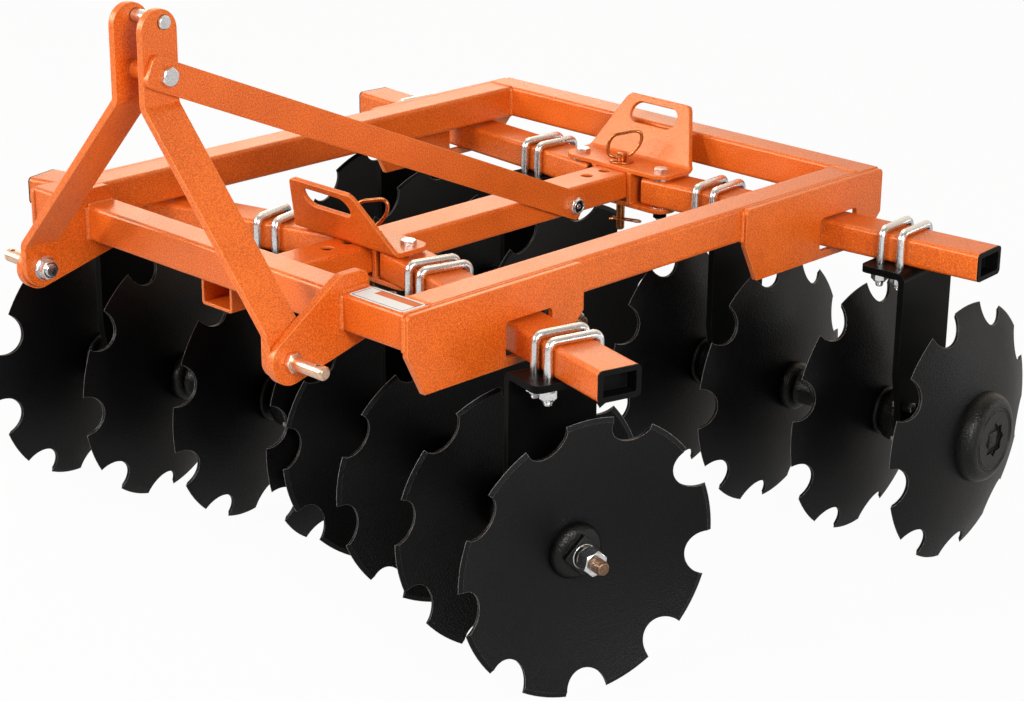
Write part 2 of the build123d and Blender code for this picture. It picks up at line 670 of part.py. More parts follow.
for (name, side, pivot_y, angle, reach, pivot_in, bulge, first_rim, blades, foot, phases) in gangs:
    # place of the beam's outer end: the pivot, then out along the beam through its guide slot
    heading = math.radians(angle)
    arm = guide_mid / math.cos(heading) + reach
    end_x = pivot_x + arm * math.cos(heading) - pivot_in * math.sin(heading)
    end_y = pivot_y + arm * math.sin(heading) + pivot_in * math.cos(heading)
    turn = angle if side > 0 else 180 - angle
    seat = Location((side * end_x, end_y, 0), (0, 0, turn))
    beam_l = arm + beam_inner
    rims = [first_rim - disc_pitch * i for i in range(disc_count)]
    apexes = [rim + bulge * disc_depth for rim in rims]

    with BuildPart() as beam:
        with BuildSketch(Plane.YZ.offset(-beam_l)):
            with Locations((0, beam_z)):
                RectangleRounded(beam_w, beam_h, beam_corner)
                RectangleRounded(beam_w - 2 * beam_wall, beam_h - 2 * beam_wall,
                                 beam_corner - beam_wall, mode=Mode.SUBTRACT)
        extrude(amount=beam_l)
        with BuildSketch(Plane.XY.offset(beam_bottom - 1)):
            with Locations((-arm, -side * pivot_in)):
                Circle(pivot_d / 2 + pivot_fit)
        extrude(amount=beam_h + 2, mode=Mode.SUBTRACT)

    # end cap: a thin flange over the end and a hollow plug in the tube
    with BuildPart() as end_cap:
        bore = beam_w - 2 * (beam_wall + cap_fit)
        with BuildSketch(Plane.YZ):
            with Locations((0, beam_z)):
                RectangleRounded(beam_w, beam_h, beam_corner)
        extrude(amount=cap_t)
        with BuildSketch(Plane.YZ.offset(-cap_plug)):
            with Locations((0, beam_z)):
                RectangleRounded(bore, bore - beam_w + beam_h, beam_corner - beam_wall - cap_fit)
        extrude(amount=cap_plug)
        with BuildSketch(Plane.YZ.offset(cap_t)):
            with Locations((0, beam_z)):
                RectangleRounded(bore - 2 * cap_wall, bore - beam_w + beam_h - 2 * cap_wall, 2)
        extrude(amount=cap_wall - cap_plug - cap_t, mode=Mode.SUBTRACT)

    toward = 0 if foot > 0 else 180
    with BuildPart() as standards:
        for u in blades:
            with Locations(Location((u - foot * std_t / 2, 0, 0), (0, 0, toward))):
                add(standard.part)
    with BuildPart() as bearings:
        for u in blades:
            with Locations(Location((u - foot * std_t / 2, 0, 0), (0, 0, toward))):
                add(bearing.part)
    with BuildPart() as u_bolts:
        for u in blades:
            with Locations(Location((u - foot * std_t / 2, 0, 0), (0, 0, toward))):
                add(ubolts.part)

    with BuildPart() as discs:
        for rim, phase in zip(rims, phases):
            tooth = math.radians(phase)
            rim_plane = Plane(
                origin=(rim, 0, axle_z),
                x_dir=(0, side * math.sin(tooth), -math.cos(tooth)),
                z_dir=(bulge, 0, 0),
            )
            with Locations(rim_plane):
                add(disc.part)
        with BuildSketch(Plane.YZ.offset(-beam_l - bell_r)):
            with Locations((0, axle_z)):
                Rectangle(axle_sq + 2 * axle_fit, axle_sq + 2 * axle_fit)
        extrude(amount=beam_l + 2 * bell_r, mode=Mode.SUBTRACT)

    # each spool starts at the bulge of a disc; a bearing spool's neck is at its bulge end
    with BuildPart() as spools:
        for i in range(disc_count - 1):
            start = apexes[i] if bulge < 0 else apexes[i + 1]
            with Locations(Plane(origin=(start, 0, axle_z), x_dir=(0, 0, 1), z_dir=(bulge, 0, 0))):
                add(full_spool.part if i == 1 else bearing_spool.part)

    # axle, with the nut end in a disc's hollow and the head end on a disc's bulge
    head_disc = apexes[-1] if bulge < 0 else apexes[0]
    nut_disc = (apexes[0] if bulge < 0 else apexes[-1]) - bulge * (disc_depth - hollow_z)
    bell_h = front_bell_h if bulge < 0 else rear_bell_h
    with BuildPart() as bell:
        with BuildSketch(Plane.XZ):
            with BuildLine():
                Polyline(
                    (0, 0),
                    (disc_flat_r + 2, 0),
                    (bell_r, 0.9 - dish_drop),
                    (bell_r, bell_lip - dish_drop),
                    (bell_ring_r, bell_h),
                    (0, bell_h),
                    close=True,
                )
            make_face()
        revolve(axis=Axis.Z)
        with BuildSketch(Plane.XY.offset(bell_h)):
            Rectangle(head_sq, head_sq)
        extrude(amount=head_h)

    with BuildPart() as axle:
        head_plane = Plane(origin=(head_disc, 0, axle_z), x_dir=(0, 0, 1), z_dir=(bulge, 0, 0))
        nut_plane = Plane(origin=(nut_disc, 0, axle_z), x_dir=(0, 0, 1), z_dir=(-bulge, 0, 0))
        with BuildSketch(head_plane):
            Rectangle(axle_sq, axle_sq)
        extrude(amount=-abs(head_disc - nut_disc) - boss_t - washer_t)
        with Locations(head_plane):
            add(bell.part)
        with BuildSketch(nut_plane.offset(boss_t + washer_t)):
            Circle(thread_d / 2)
        extrude(amount=nut_h + thread_out)
        chamfer(axle.faces().sort_by(Axis.X)[-1 if bulge < 0 else 0].edges(), 2)
        with BuildSketch(nut_plane):
            Circle(boss_r)
        extrude(amount=boss_t)
        with BuildSketch(nut_plane.offset(boss_t)):
            RectangleRounded(washer_sq, washer_sq, 6)
        extrude(amount=washer_t)
        with BuildSketch(nut_plane.offset(boss_t + washer_t)):
            RegularPolygon(nut_af / 2, 6, major_radius=False)
        extrude(amount=nut_h)

    for piece, unit in (("beam", beam), ("end_cap", end_cap), ("standards", standards),
                        ("bearings", bearings), ("u_bolts", u_bolts), ("discs", discs),
                        ("spools", spools), ("axle", axle)):
        placed = unit.part.moved(seat)
        placed.label = f"{name}_{piece}"
        export_step(placed, f"parts/{name}_{piece}.step")
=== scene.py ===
# %% [markdown]
# # A compact disc harrow, dressed for its picture
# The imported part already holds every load-carrying piece at its true size: the welded tube frame, the
# hitch, the two sliding adjusters, and four gangs of notched discs. This lesson loads that part as a
# fixed frame, gives each piece its finish, and models the small hardware that makes it look real.

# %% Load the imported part
import json
import math
import bpy
from mathutils import Matrix, Vector


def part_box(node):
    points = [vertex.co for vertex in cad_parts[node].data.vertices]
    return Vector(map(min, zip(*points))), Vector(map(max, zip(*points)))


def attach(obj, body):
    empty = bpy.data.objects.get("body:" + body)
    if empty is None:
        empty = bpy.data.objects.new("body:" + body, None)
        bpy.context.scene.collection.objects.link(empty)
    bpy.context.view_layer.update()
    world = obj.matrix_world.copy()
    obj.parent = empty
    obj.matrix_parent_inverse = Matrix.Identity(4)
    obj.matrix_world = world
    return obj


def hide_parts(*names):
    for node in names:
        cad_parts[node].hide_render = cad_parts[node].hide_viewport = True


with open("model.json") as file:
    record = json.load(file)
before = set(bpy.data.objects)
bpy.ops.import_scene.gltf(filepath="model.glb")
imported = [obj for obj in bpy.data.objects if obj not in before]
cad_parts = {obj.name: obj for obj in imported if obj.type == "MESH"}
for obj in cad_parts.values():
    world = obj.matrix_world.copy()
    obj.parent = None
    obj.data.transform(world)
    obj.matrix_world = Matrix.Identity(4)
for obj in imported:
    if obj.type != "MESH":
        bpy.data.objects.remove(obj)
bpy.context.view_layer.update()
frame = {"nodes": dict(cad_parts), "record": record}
nodes = frame["nodes"]

# %% [markdown]
# ## Camera, floor and light
# The camera stands ahead of the left front corner and looks back and down over the machine, with a
# long lens that keeps the tubes nearly parallel. It is set by its heading, its downward pitch and a
# small roll, so its matrix is built from those three angles. The shift slides the view a little, so
# the machine fills the page without any change of perspective.

# %% Camera, its angles in radians
heading, pitch, roll = 0.762, -0.356, 0.013
forward = Vector((-math.sin(heading) * math.cos(pitch), math.cos(heading) * math.cos(pitch), math.sin(pitch)))
level = Vector((math.cos(heading), math.sin(heading), 0))
upward = level.cross(forward)
right = math.cos(roll) * level + math.sin(roll) * upward
top = math.cos(roll) * upward - math.sin(roll) * level
bpy.ops.object.select_all(action="DESELECT")
bpy.ops.object.camera_add(location=(2.9212, -2.8715, 1.7957))
camera = bpy.context.object
camera.name = "studio_camera"
camera.rotation_euler = Matrix((right, top, -forward)).transposed().to_euler()
camera.data.sensor_width = 36
camera.data.lens = 85.978125
camera.data.shift_x = -0.0259765625
camera.data.shift_y = 0.01787109375
camera.data.clip_end = 60
bpy.context.scene.camera = camera
print("camera at", tuple(round(v, 3) for v in camera.location), "lens", round(camera.data.lens, 1))

# %% [markdown]
# The floor is one wide pale sheet. To the camera it glows close to white, so the object stands on a
# clean page, and the part of it that is plain paint still takes the soft shadow under the discs. What
# the discs and bolts mirror of it glows much less, or the black discs would turn grey.

# %% Helpers: shader nodes
def add(tree, kind, values=None, **settings):
    """A shader node: first its settings, then the plain values of its sockets."""
    node = tree.nodes.new(kind)
    for name, value in settings.items():
        setattr(node, name, value)
    for socket, value in (values or {}).items():
        node.inputs[socket].default_value = value
    return node


def wire(tree, *pairs):
    for a, b in pairs:
        tree.links.new(a, b)


print("node helpers ready")

# %% Floor
camera_share = 0.965
mirror_share = 0.24
bpy.ops.mesh.primitive_plane_add(size=40, location=(0, 0, 0))
floor = bpy.context.object
floor.name = "studio_floor"
floor_paint = bpy.data.materials.new("studio_floor_paint")
floor_paint.use_nodes = True
net = floor_paint.node_tree
net.nodes.clear()
sheet_out = add(net, "ShaderNodeOutputMaterial")
paint = add(net, "ShaderNodeBsdfDiffuse", {"Color": (0.5, 0.5, 0.5, 1)})
glow = add(net, "ShaderNodeEmission", {"Color": (1, 1, 1, 1), "Strength": 1.0})
seen = add(net, "ShaderNodeLightPath")
mirrored = add(net, "ShaderNodeMath", {1: mirror_share}, operation="MULTIPLY")
share = add(net, "ShaderNodeMath", {1: camera_share}, operation="MULTIPLY_ADD")
blend = add(net, "ShaderNodeMixShader")
wire(net, (seen.outputs["Is Glossy Ray"], mirrored.inputs[0]),
     (seen.outputs["Is Camera Ray"], share.inputs[0]), (mirrored.outputs[0], share.inputs[2]),
     (share.outputs[0], blend.inputs[0]), (paint.outputs[0], blend.inputs[1]),
     (glow.outputs[0], blend.inputs[2]), (blend.outputs[0], sheet_out.inputs["Surface"]))
floor.data.materials.append(floor_paint)
print("floor", tuple(floor.dimensions))

# %% [markdown]
# The studio is brighter behind the machine, where a pale backdrop stands, and darker in front. The
# world's light is a little warm, and only the camera sees it near pure white. Glossy surfaces mirror the
# backdrop at twice its level, near white where it is brightest.

# %% World
backdrop_way = (-0.66, 0.69, 0.3)
dim, bright = 0.16, 0.5
world = bpy.data.worlds.new("studio_world")
bpy.context.scene.world = world
world.use_nodes = True
net = world.node_tree
net.nodes.clear()
sky_out = add(net, "ShaderNodeOutputWorld")
sky = add(net, "ShaderNodeBackground")
facing = add(net, "ShaderNodeTexCoord")
toward = add(net, "ShaderNodeVectorMath", {1: backdrop_way}, operation="DOT_PRODUCT")
backdrop = add(net, "ShaderNodeMapRange",
               {"From Min": -0.2, "From Max": 0.8, "To Min": dim, "To Max": bright})
seen = add(net, "ShaderNodeLightPath")
mirrored = add(net, "ShaderNodeMath", operation="MULTIPLY_ADD")
strength = add(net, "ShaderNodeMix", {"B": 0.985}, data_type="FLOAT")
warmth = add(net, "ShaderNodeMix", {"A": (1.0, 0.89, 0.74, 1), "B": (1, 1, 1, 1)}, data_type="RGBA")
wire(net, (facing.outputs["Generated"], toward.inputs[0]),
     (toward.outputs["Value"], backdrop.inputs["Value"]),
     (seen.outputs["Is Glossy Ray"], mirrored.inputs[0]), (backdrop.outputs["Result"], mirrored.inputs[1]),
     (backdrop.outputs["Result"], mirrored.inputs[2]), (mirrored.outputs[0], strength.inputs["A"]),
     (seen.outputs["Is Camera Ray"], strength.inputs["Factor"]),
     (seen.outputs["Is Camera Ray"], warmth.inputs["Factor"]),
     (warmth.outputs["Result"], sky.inputs["Color"]), (strength.outputs["Result"], sky.inputs["Strength"]),
     (sky.outputs[0], sky_out.inputs["Surface"]))
print("world", world.name)

# %% [markdown]
# Soft boxes do the rest. The key stands to the right of the camera, two more fill the front, and a warm
# one behind glances along the tops of the tubes. The two low ones are there for the discs: black paint
# shows only what it mirrors, and from the camera the end discs mirror the space near the floor.

# %% Lamps
lamps = (
    # name, place, aimed at, width, height, power, colour
    ("key_box", (3.9, -1.9, 2.3), (0.3, -0.3, 0.4), 1.5, 1.3, 148, (1, 1, 1)),
    ("side_box", (-3.3, -3.4, 2.4), (0.0, 0.0, 0.5), 2.6, 1.8, 132, (1, 0.98, 0.96)),
    ("front_box", (-0.7, -4.6, 2.9), (0.0, 0.0, 0.5), 0.8, 0.7, 110, (1, 1, 1)),
    ("top_box", (-0.4, 0.8, 4.2), (0.0, 0.0, 0.4), 3.0, 2.6, 21, (1, 0.92, 0.8)),
    ("low_box", (4.6, 0.5, 0.45), (0.7, -0.3, 0.25), 1.4, 0.7, 17, (0.94, 0.96, 1)),
    ("low_rear_box", (3.4, 4.0, 0.5), (0.75, 0.4, 0.25), 1.4, 0.7, 16, (0.94, 0.96, 1)),
    ("rear_box", (-3.4, 2.8, 2.4), (0.0, 0.0, 0.4), 2.4, 1.6, 36, (1, 0.86, 0.66)),
)
for name, place, aim, width, height, power, colour in lamps:
    bpy.ops.object.light_add(type="AREA", location=place)
    lamp = bpy.context.object
    lamp.name = name
    lamp.data.shape = "RECTANGLE"
    lamp.data.size = width
    lamp.data.size_y = height
    lamp.data.energy = power
    lamp.data.color = colour
    lamp.rotation_euler = (Vector(aim) - Vector(place)).to_track_quat("-Z", "Y").to_euler()
bpy.context.scene.view_settings.view_transform = "Standard"
print("lamps", len(lamps))

# %% [markdown]
# ## Finishes
# The machine has few finishes: orange powder coat on everything that is welded, satin black on discs,
# standards and spools, zinc plate on bolts, and black plastic caps. What they share, a fine grain and lighter
# edges that are partly rubbed wear and partly painted highlight, is built once as node groups and placed in
# each material with its own values.

# %% Group: fine grain
def new_group(name, wants, gives):
    group = bpy.data.node_groups.new(name, "ShaderNodeTree")
    for label, value in wants:
        socket = group.interface.new_socket(label, in_out="INPUT", socket_type="NodeSocketFloat")
        socket.default_value = value
    for label, kind in gives:
        group.interface.new_socket(label, in_out="OUTPUT", socket_type=kind)
    return group, group.nodes.new("NodeGroupInput"), group.nodes.new("NodeGroupOutput")


grain, gin, gout = new_group(
    "fine_grain", (("Scale", 600.0), ("Patch Scale", 12.0)),
    (("Speckle", "NodeSocketFloat"), ("Patches", "NodeSocketFloat"), ("Height", "NodeSocketFloat")))
spot = add(grain, "ShaderNodeTexCoord")
fine = add(grain, "ShaderNodeTexNoise", {"Detail": 2.0})
broad = add(grain, "ShaderNodeTexNoise", {"Detail": 5.0, "Roughness": 0.6})
sharper = add(grain, "ShaderNodeMapRange", {"From Min": 0.36, "From Max": 0.64})
wire(grain, (spot.outputs["Object"], fine.inputs["Vector"]), (spot.outputs["Object"], broad.inputs["Vector"]),
     (gin.outputs["Scale"], fine.inputs["Scale"]), (gin.outputs["Patch Scale"], broad.inputs["Scale"]),
     (fine.outputs["Fac"], sharper.inputs["Value"]), (sharper.outputs["Result"], gout.inputs["Speckle"]),
     (broad.outputs["Fac"], gout.inputs["Patches"]), (fine.outputs["Fac"], gout.inputs["Height"]))
print("group", grain.name)

# %% Group: rubbed edges and painted edge highlights, from how far a rounded normal leans from the true one
# The mask marks the edges, which the finishes paint lighter: partly rubbed wear, partly a painted highlight.
edges, gin, gout = new_group(
    "rubbed_and_highlit_edges", (("Width", 0.002), ("Low", 0.02), ("High", 0.2)),
    (("Mask", "NodeSocketFloat"), ("Normal", "NodeSocketVector")))
round_off = add(edges, "ShaderNodeBevel", samples=6)
true_face = add(edges, "ShaderNodeNewGeometry")
lean = add(edges, "ShaderNodeVectorMath", operation="DOT_PRODUCT")
away = add(edges, "ShaderNodeMath", {0: 1.0}, operation="SUBTRACT")
ramp = add(edges, "ShaderNodeMapRange")
wire(edges, (gin.outputs["Width"], round_off.inputs["Radius"]), (round_off.outputs["Normal"], lean.inputs[0]),
     (true_face.outputs["True Normal"], lean.inputs[1]), (lean.outputs["Value"], away.inputs[1]),
     (away.outputs[0], ramp.inputs["Value"]), (gin.outputs["Low"], ramp.inputs["From Min"]),
     (gin.outputs["High"], ramp.inputs["From Max"]), (ramp.outputs["Result"], gout.inputs["Mask"]),
     (round_off.outputs["Normal"], gout.inputs["Normal"]))
print("group", edges.name)

# %% [markdown]
# Every finish mixes a dark and a light tone by the grain, lays a third, lighter tone over the edges, partly
# as rubbed wear and partly as a painted highlight, and lets the gloss drift in broad patches. The grain's
# height also drives a slight bump. Each material holds its own Principled shader; only the masks and normals
# come from the groups.

# %% Material helper
speckle_share, patch_share = 0.55, 0.45


def finish(name, dark, light, wear_and_highlight_colour, rough, wear_and_highlight_share=0.5, metal=0.0, scale=600.0, patches=12.0,
           bump=0.15, width=0.002, shine=0.5, tint=(1, 1, 1), depth=0.0004):
    """Colours and shares are plain numbers; width and depth are in metres, the scales per metre."""
    mat = bpy.data.materials.new(name)
    mat.use_nodes = True
    tree = mat.node_tree
    shader = tree.nodes["Principled BSDF"]
    shader.inputs["Metallic"].default_value = metal
    shader.inputs["Specular IOR Level"].default_value = shine
    shader.inputs["Specular Tint"].default_value = (*tint, 1)
    g = add(tree, "ShaderNodeGroup", {"Scale": scale, "Patch Scale": patches}, node_tree=grain)
    e = add(tree, "ShaderNodeGroup", {"Width": width}, node_tree=edges)
    both = add(tree, "ShaderNodeMath", {1: speckle_share}, operation="MULTIPLY_ADD")
    half = add(tree, "ShaderNodeMath", {1: patch_share}, operation="MULTIPLY")
    tone = add(tree, "ShaderNodeMix", {"A": (*dark, 1), "B": (*light, 1)}, data_type="RGBA")
    # The lighter edge tone laid over the mask is partly rubbed wear and partly a painted highlight.
    wear_and_highlight_factor = add(tree, "ShaderNodeMath", {1: wear_and_highlight_share}, operation="MULTIPLY")
    top_tone = add(tree, "ShaderNodeMix", {"B": (*wear_and_highlight_colour, 1)}, data_type="RGBA")
    gloss = add(tree, "ShaderNodeMapRange", {"To Min": rough[0], "To Max": rough[1]})
    rise = add(tree, "ShaderNodeBump", {"Strength": bump, "Distance": depth})
    wire(tree, (g.outputs["Speckle"], both.inputs[0]), (g.outputs["Patches"], half.inputs[0]),
         (half.outputs[0], both.inputs[2]), (both.outputs[0], tone.inputs["Factor"]),
         (tone.outputs["Result"], top_tone.inputs["A"]), (e.outputs["Mask"], wear_and_highlight_factor.inputs[0]),
         (wear_and_highlight_factor.outputs[0], top_tone.inputs["Factor"]),
         (top_tone.outputs["Result"], shader.inputs["Base Color"]),
         (g.outputs["Patches"], gloss.inputs["Value"]), (gloss.outputs["Result"], shader.inputs["Roughness"]),
         (g.outputs["Height"], rise.inputs["Height"]), (e.outputs["Normal"], rise.inputs["Normal"]),
         (rise.outputs["Normal"], shader.inputs["Normal"]))
    return mat


print("finish helper ready")

# %% [markdown]
# The orange coat has a strong grain and a warm mirror, so its tops go pale yellow and not pink where they
# face the backdrop. The black paints mirror little. Zinc is a bright metal with hardly any grain.

# %% Finishes of the CAD pieces
# Each finish's edge tone is lighter than its body: partly rubbed wear, partly a painted highlight along the
# edges.
orange = finish("orange_powder_coat", (0.38, 0.036, 0.002), (1.0, 0.195, 0.015), (0.98, 0.34, 0.08),
                (0.26, 0.42), wear_and_highlight_share=0.6, scale=400.0, patches=9.0, bump=0.8, width=0.003, shine=1.0,
                tint=(1.0, 0.8, 0.52), depth=0.0005)
black = finish("satin_black_paint", (0.001, 0.001, 0.001), (0.004, 0.004, 0.004), (0.04, 0.04, 0.04),
               (0.32, 0.48), scale=500.0, patches=14.0, bump=0.2, width=0.0015, shine=0.06)
# The discs' pale edge tone is partly rubbed steel and partly a painted highlight where the sharpened edges
# catch light.
disc_black = finish("disc_black", (0.0001, 0.0001, 0.0001), (0.0046, 0.0046, 0.0052), (0.5, 0.49, 0.47),
                    (0.29, 0.45), wear_and_highlight_share=0.6, scale=380.0, patches=10.0, bump=1.0, width=0.0011,
                    shine=0.175, depth=0.0008)
zinc = finish("zinc_plate", (0.66, 0.67, 0.68), (0.92, 0.93, 0.95), (0.96, 0.97, 0.98), (0.18, 0.36),
              metal=1.0, scale=300.0, patches=60.0, width=0.001)
plastic = finish("cap_plastic", (0.002, 0.002, 0.002), (0.005, 0.005, 0.005), (0.03, 0.03, 0.03),
                 (0.4, 0.6), wear_and_highlight_share=0.4, scale=700.0, patches=20.0, bump=0.2, width=0.0015, shine=0.08)
finishes = {"frame_paint": orange, "black_paint": black, "disc_steel": disc_black, "bolt_steel": zinc,
            "cap_plastic": plastic}
for entry in frame["record"]["subparts"]:
    piece = nodes[entry["node"]]
    piece.data.materials.clear()
    piece.data.materials.append(finishes[entry["material_slot"]])

# %% Finishes of the small hardware: rough castings, and steel plated in four tones
cast_black = finish("cast_black", (0.001, 0.001, 0.001), (0.005, 0.005, 0.005), (0.05, 0.05, 0.05),
                    (0.24, 0.4), scale=300.0, patches=25.0, bump=0.8, shine=0.27, depth=0.0016)
# The pale edge tones here, brightest on the spring washers and the threads, are partly rubbed wear and partly
# painted highlight.
oiled_steel = finish("oiled_steel", (0.004, 0.004, 0.004), (0.015, 0.014, 0.013), (0.8, 0.72, 0.62),
                     (0.25, 0.4), wear_and_highlight_share=1.0, scale=300.0, patches=60.0, bump=0.3, width=0.0016)
gold_zinc = finish("yellow_zinc", (0.72, 0.42, 0.26), (0.96, 0.72, 0.56), (0.98, 0.85, 0.75), (0.2, 0.4),
                   metal=1.0, scale=300.0, patches=60.0, width=0.001)
brown_zinc = finish("tarnished_zinc", (0.08, 0.045, 0.028), (0.34, 0.2, 0.13), (0.95, 0.7, 0.52),
                    (0.28, 0.5), wear_and_highlight_share=0.9, metal=1.0, scale=300.0, patches=60.0, bump=0.3, width=0.0014)
copper_zinc = finish("copper_coloured_zinc", (0.3, 0.08, 0.02), (0.78, 0.3, 0.1), (1.0, 0.6, 0.32),
                     (0.2, 0.38), wear_and_highlight_share=0.6, metal=1.0, scale=300.0, patches=60.0, bump=0.2, width=0.001)
print("materials", len(bpy.data.materials))

# %% [markdown]
# ## Hardware
# Everything bolted on is small and turned or forged: nuts, washers, threaded ends, cast spools. Each kind
# is modelled once, standing on the ground with its axis upright, then copied to its places. A turned
# shape starts as a circle, and is drawn up ring by ring by extruding and scaling, as on a lathe. Sizes
# are in millimetres until a shape is made.

# %% Helpers: turned shapes
UP = Vector((0, 0, 1))
mm = 0.001


def alone(*chosen):
    bpy.ops.object.select_all(action="DESELECT")
    for thing in chosen:
        thing.select_set(True)
    if chosen:
        bpy.context.view_layer.objects.active = chosen[0]


def tidy_up(piece, angle=32):
    alone(piece)
    bpy.ops.object.transform_apply(location=True, rotation=True, scale=True)
    bpy.ops.object.mode_set(mode="EDIT")
    bpy.ops.mesh.select_all(action="SELECT")
    bpy.ops.mesh.remove_doubles(threshold=0.00001)
    bpy.ops.mesh.normals_make_consistent(inside=False)
    bpy.ops.object.mode_set(mode="OBJECT")
    bpy.ops.object.shade_smooth_by_angle(angle=math.radians(angle))
    return piece


def turned(rings, sides=32, hollow=False, angle=32):
    """Rings of (radius, height), each extruded from the last; a hollow one closes on its first."""
    alone()
    radius, height = rings[0]
    bpy.ops.mesh.primitive_circle_add(vertices=sides, radius=radius * mm, location=(0, 0, height * mm),
                                      fill_type="NOTHING" if hollow else "NGON")
    piece = bpy.context.object
    bpy.ops.object.mode_set(mode="EDIT")
    bpy.ops.mesh.select_all(action="SELECT")
    for next_radius, next_height in rings[1:] + (rings[:1] if hollow else []):
        rise = (next_height - height) * mm
        bpy.ops.mesh.extrude_region_move(TRANSFORM_OT_translate={"value": (0, 0, rise)})
        ratio = next_radius / radius
        bpy.ops.transform.resize(value=(ratio, ratio, 1), center_override=(0, 0, 0))
        radius, height = next_radius, next_height
    bpy.ops.object.mode_set(mode="OBJECT")
    return tidy_up(piece, angle)


def rounded(radius, z0, z1, ease, steps=3):
    """Rings of a plain round bar whose two edges are eased."""
    turns = [math.pi / 2 * i / steps for i in range(steps + 1)]
    low = [(radius - ease + ease * math.sin(a), z0 + ease - ease * math.cos(a)) for a in turns]
    return low + [(r, z0 + z1 - z) for r, z in reversed(low)]


def cross_hole(radius, height, sides):
    """A bar lying along X at a height, to be cut from a pin."""
    bar = turned([(radius, -15), (radius, 15)], sides=sides)
    bar.data.transform(Matrix.Translation((0, 0, height * mm)) @ Matrix.Rotation(math.pi / 2, 4, "Y"))
    return bar


print("helpers ready")

# %% [markdown]
# A hexagon bolt head is a hexagonal prism whose corners are turned down by a shallow cone. Here the prism
# and the cone are two solids, and an intersecting Boolean keeps what is inside both.

# %% Helpers: chamfered hexagons and threads
def meet(piece, tool, operation="INTERSECT"):
    cut = piece.modifiers.new("cut", "BOOLEAN")
    cut.operation = operation
    cut.object = tool
    cut.solver = "EXACT"
    alone(piece)
    bpy.ops.object.modifier_apply(modifier="cut")
    bpy.data.objects.remove(tool)
    return tidy_up(piece, 25)


def hexagon(across, height, both=False):
    """A hexagon by its width across flats, its corners turned down by a cone at one end or both."""
    corner = across / math.sqrt(3)
    piece = turned([(corner, 0), (corner, height)], sides=6)
    outside = corner * 1.02
    lip = across * 0.47
    drop = (outside - lip) * math.tan(math.radians(30))
    rings = [(lip, 0), (outside, drop)] if both else [(outside, 0)]
    return meet(piece, turned(rings + [(outside, height - drop), (lip, height)], sides=48))


def thread(radius, z0, z1, pitch):
    """A threaded end: ridges along a bar, the last one chamfered away."""
    root = radius - 0.55 * pitch
    rings = [(radius - 0.5 * pitch, z0)]
    turns = int((z1 - z0 - pitch) / pitch)
    for i in range(turns):
        z = z0 + i * pitch
        rings += [(root, z + 0.1 * pitch), (radius, z + 0.55 * pitch)]
    rings += [(root, z0 + turns * pitch + 0.1 * pitch), (radius - 0.6 * pitch, z1 - 0.6 * pitch),
              (radius - 1.2 * pitch, z1)]
    return turned(rings, sides=24, angle=20)


print("hexagons and threads ready")

# %% Helpers: copy units into place and join them into one piece
def put(unit, place, paint=None):
    copy = unit.copy()
    copy.data = unit.data.copy()
    bpy.context.collection.objects.link(copy)
    copy.data.transform(place)
    if paint is not None:
        copy.data.materials.clear()
        copy.data.materials.append(paint)
    return copy


def discard(*units):
    """Drops the masters once their copies are in place."""
    for unit in units:
        bpy.data.objects.remove(unit)


def build(name, body, copies, hides=()):
    alone(*copies)
    if len(copies) > 1:
        bpy.ops.object.join()
    piece = bpy.context.object
    piece.name = name
    piece.data.name = name
    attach(piece, body)
    for node in hides:
        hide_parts(node)
    return piece


def stand(origin, z_dir, x_dir=None):
    """A place whose Z runs along z_dir, with X as near as can be to x_dir."""
    z = Vector(z_dir).normalized()
    x = Vector(x_dir) if x_dir is not None else UP
    x = (x - z * x.dot(z)).normalized()
    place = Matrix((x, z.cross(x), z)).transposed().to_4x4()
    place.translation = Vector(origin)
    return place


def spun(angle):
    """A turn about the unit's own axis, in radians."""
    return Matrix.Rotation(angle, 4, "Z")


def lifted(height, angle=0.0):
    """A rise in millimetres along the unit's own axis, and a turn about it."""
    return Matrix.Translation((0, 0, height * mm)) @ spun(angle)


print("copying helpers ready")

# %% The gangs: their names, their spin axes, and which way each one faces
joints = {joint["name"]: joint for joint in frame["record"]["behaviour"]["joints"]}
ends = ("front", "rear")
gangs = [f"{end}_{side}" for end in ends for side in ("left", "right")]
way_of = {gang: 1 if gang.startswith("front") else -1 for gang in gangs}


def gang_line(gang):
    joint = joints[f"{gang}_gang_spin"]
    return Vector(joint["pos_m"]), Vector(joint["axis"]).normalized()


def reach(node, origin, axis):
    """How far a node runs along an axis, from its own mesh."""
    along = [(corner.co - origin).dot(axis) for corner in nodes[node].data.vertices]
    return min(along), max(along)


print("gangs", gangs)

# %% [markdown]
# ### U-bolts
# Two zinc-plated U-bolts hold each standard to its beam. The rod is swept as a smith would bend it: a
# short round end is extruded up, spun a quarter turn, drawn across the beam, spun again and drawn down.
# Below the standard's foot each leg has a flange nut with a nylon ring, and a threaded tail.

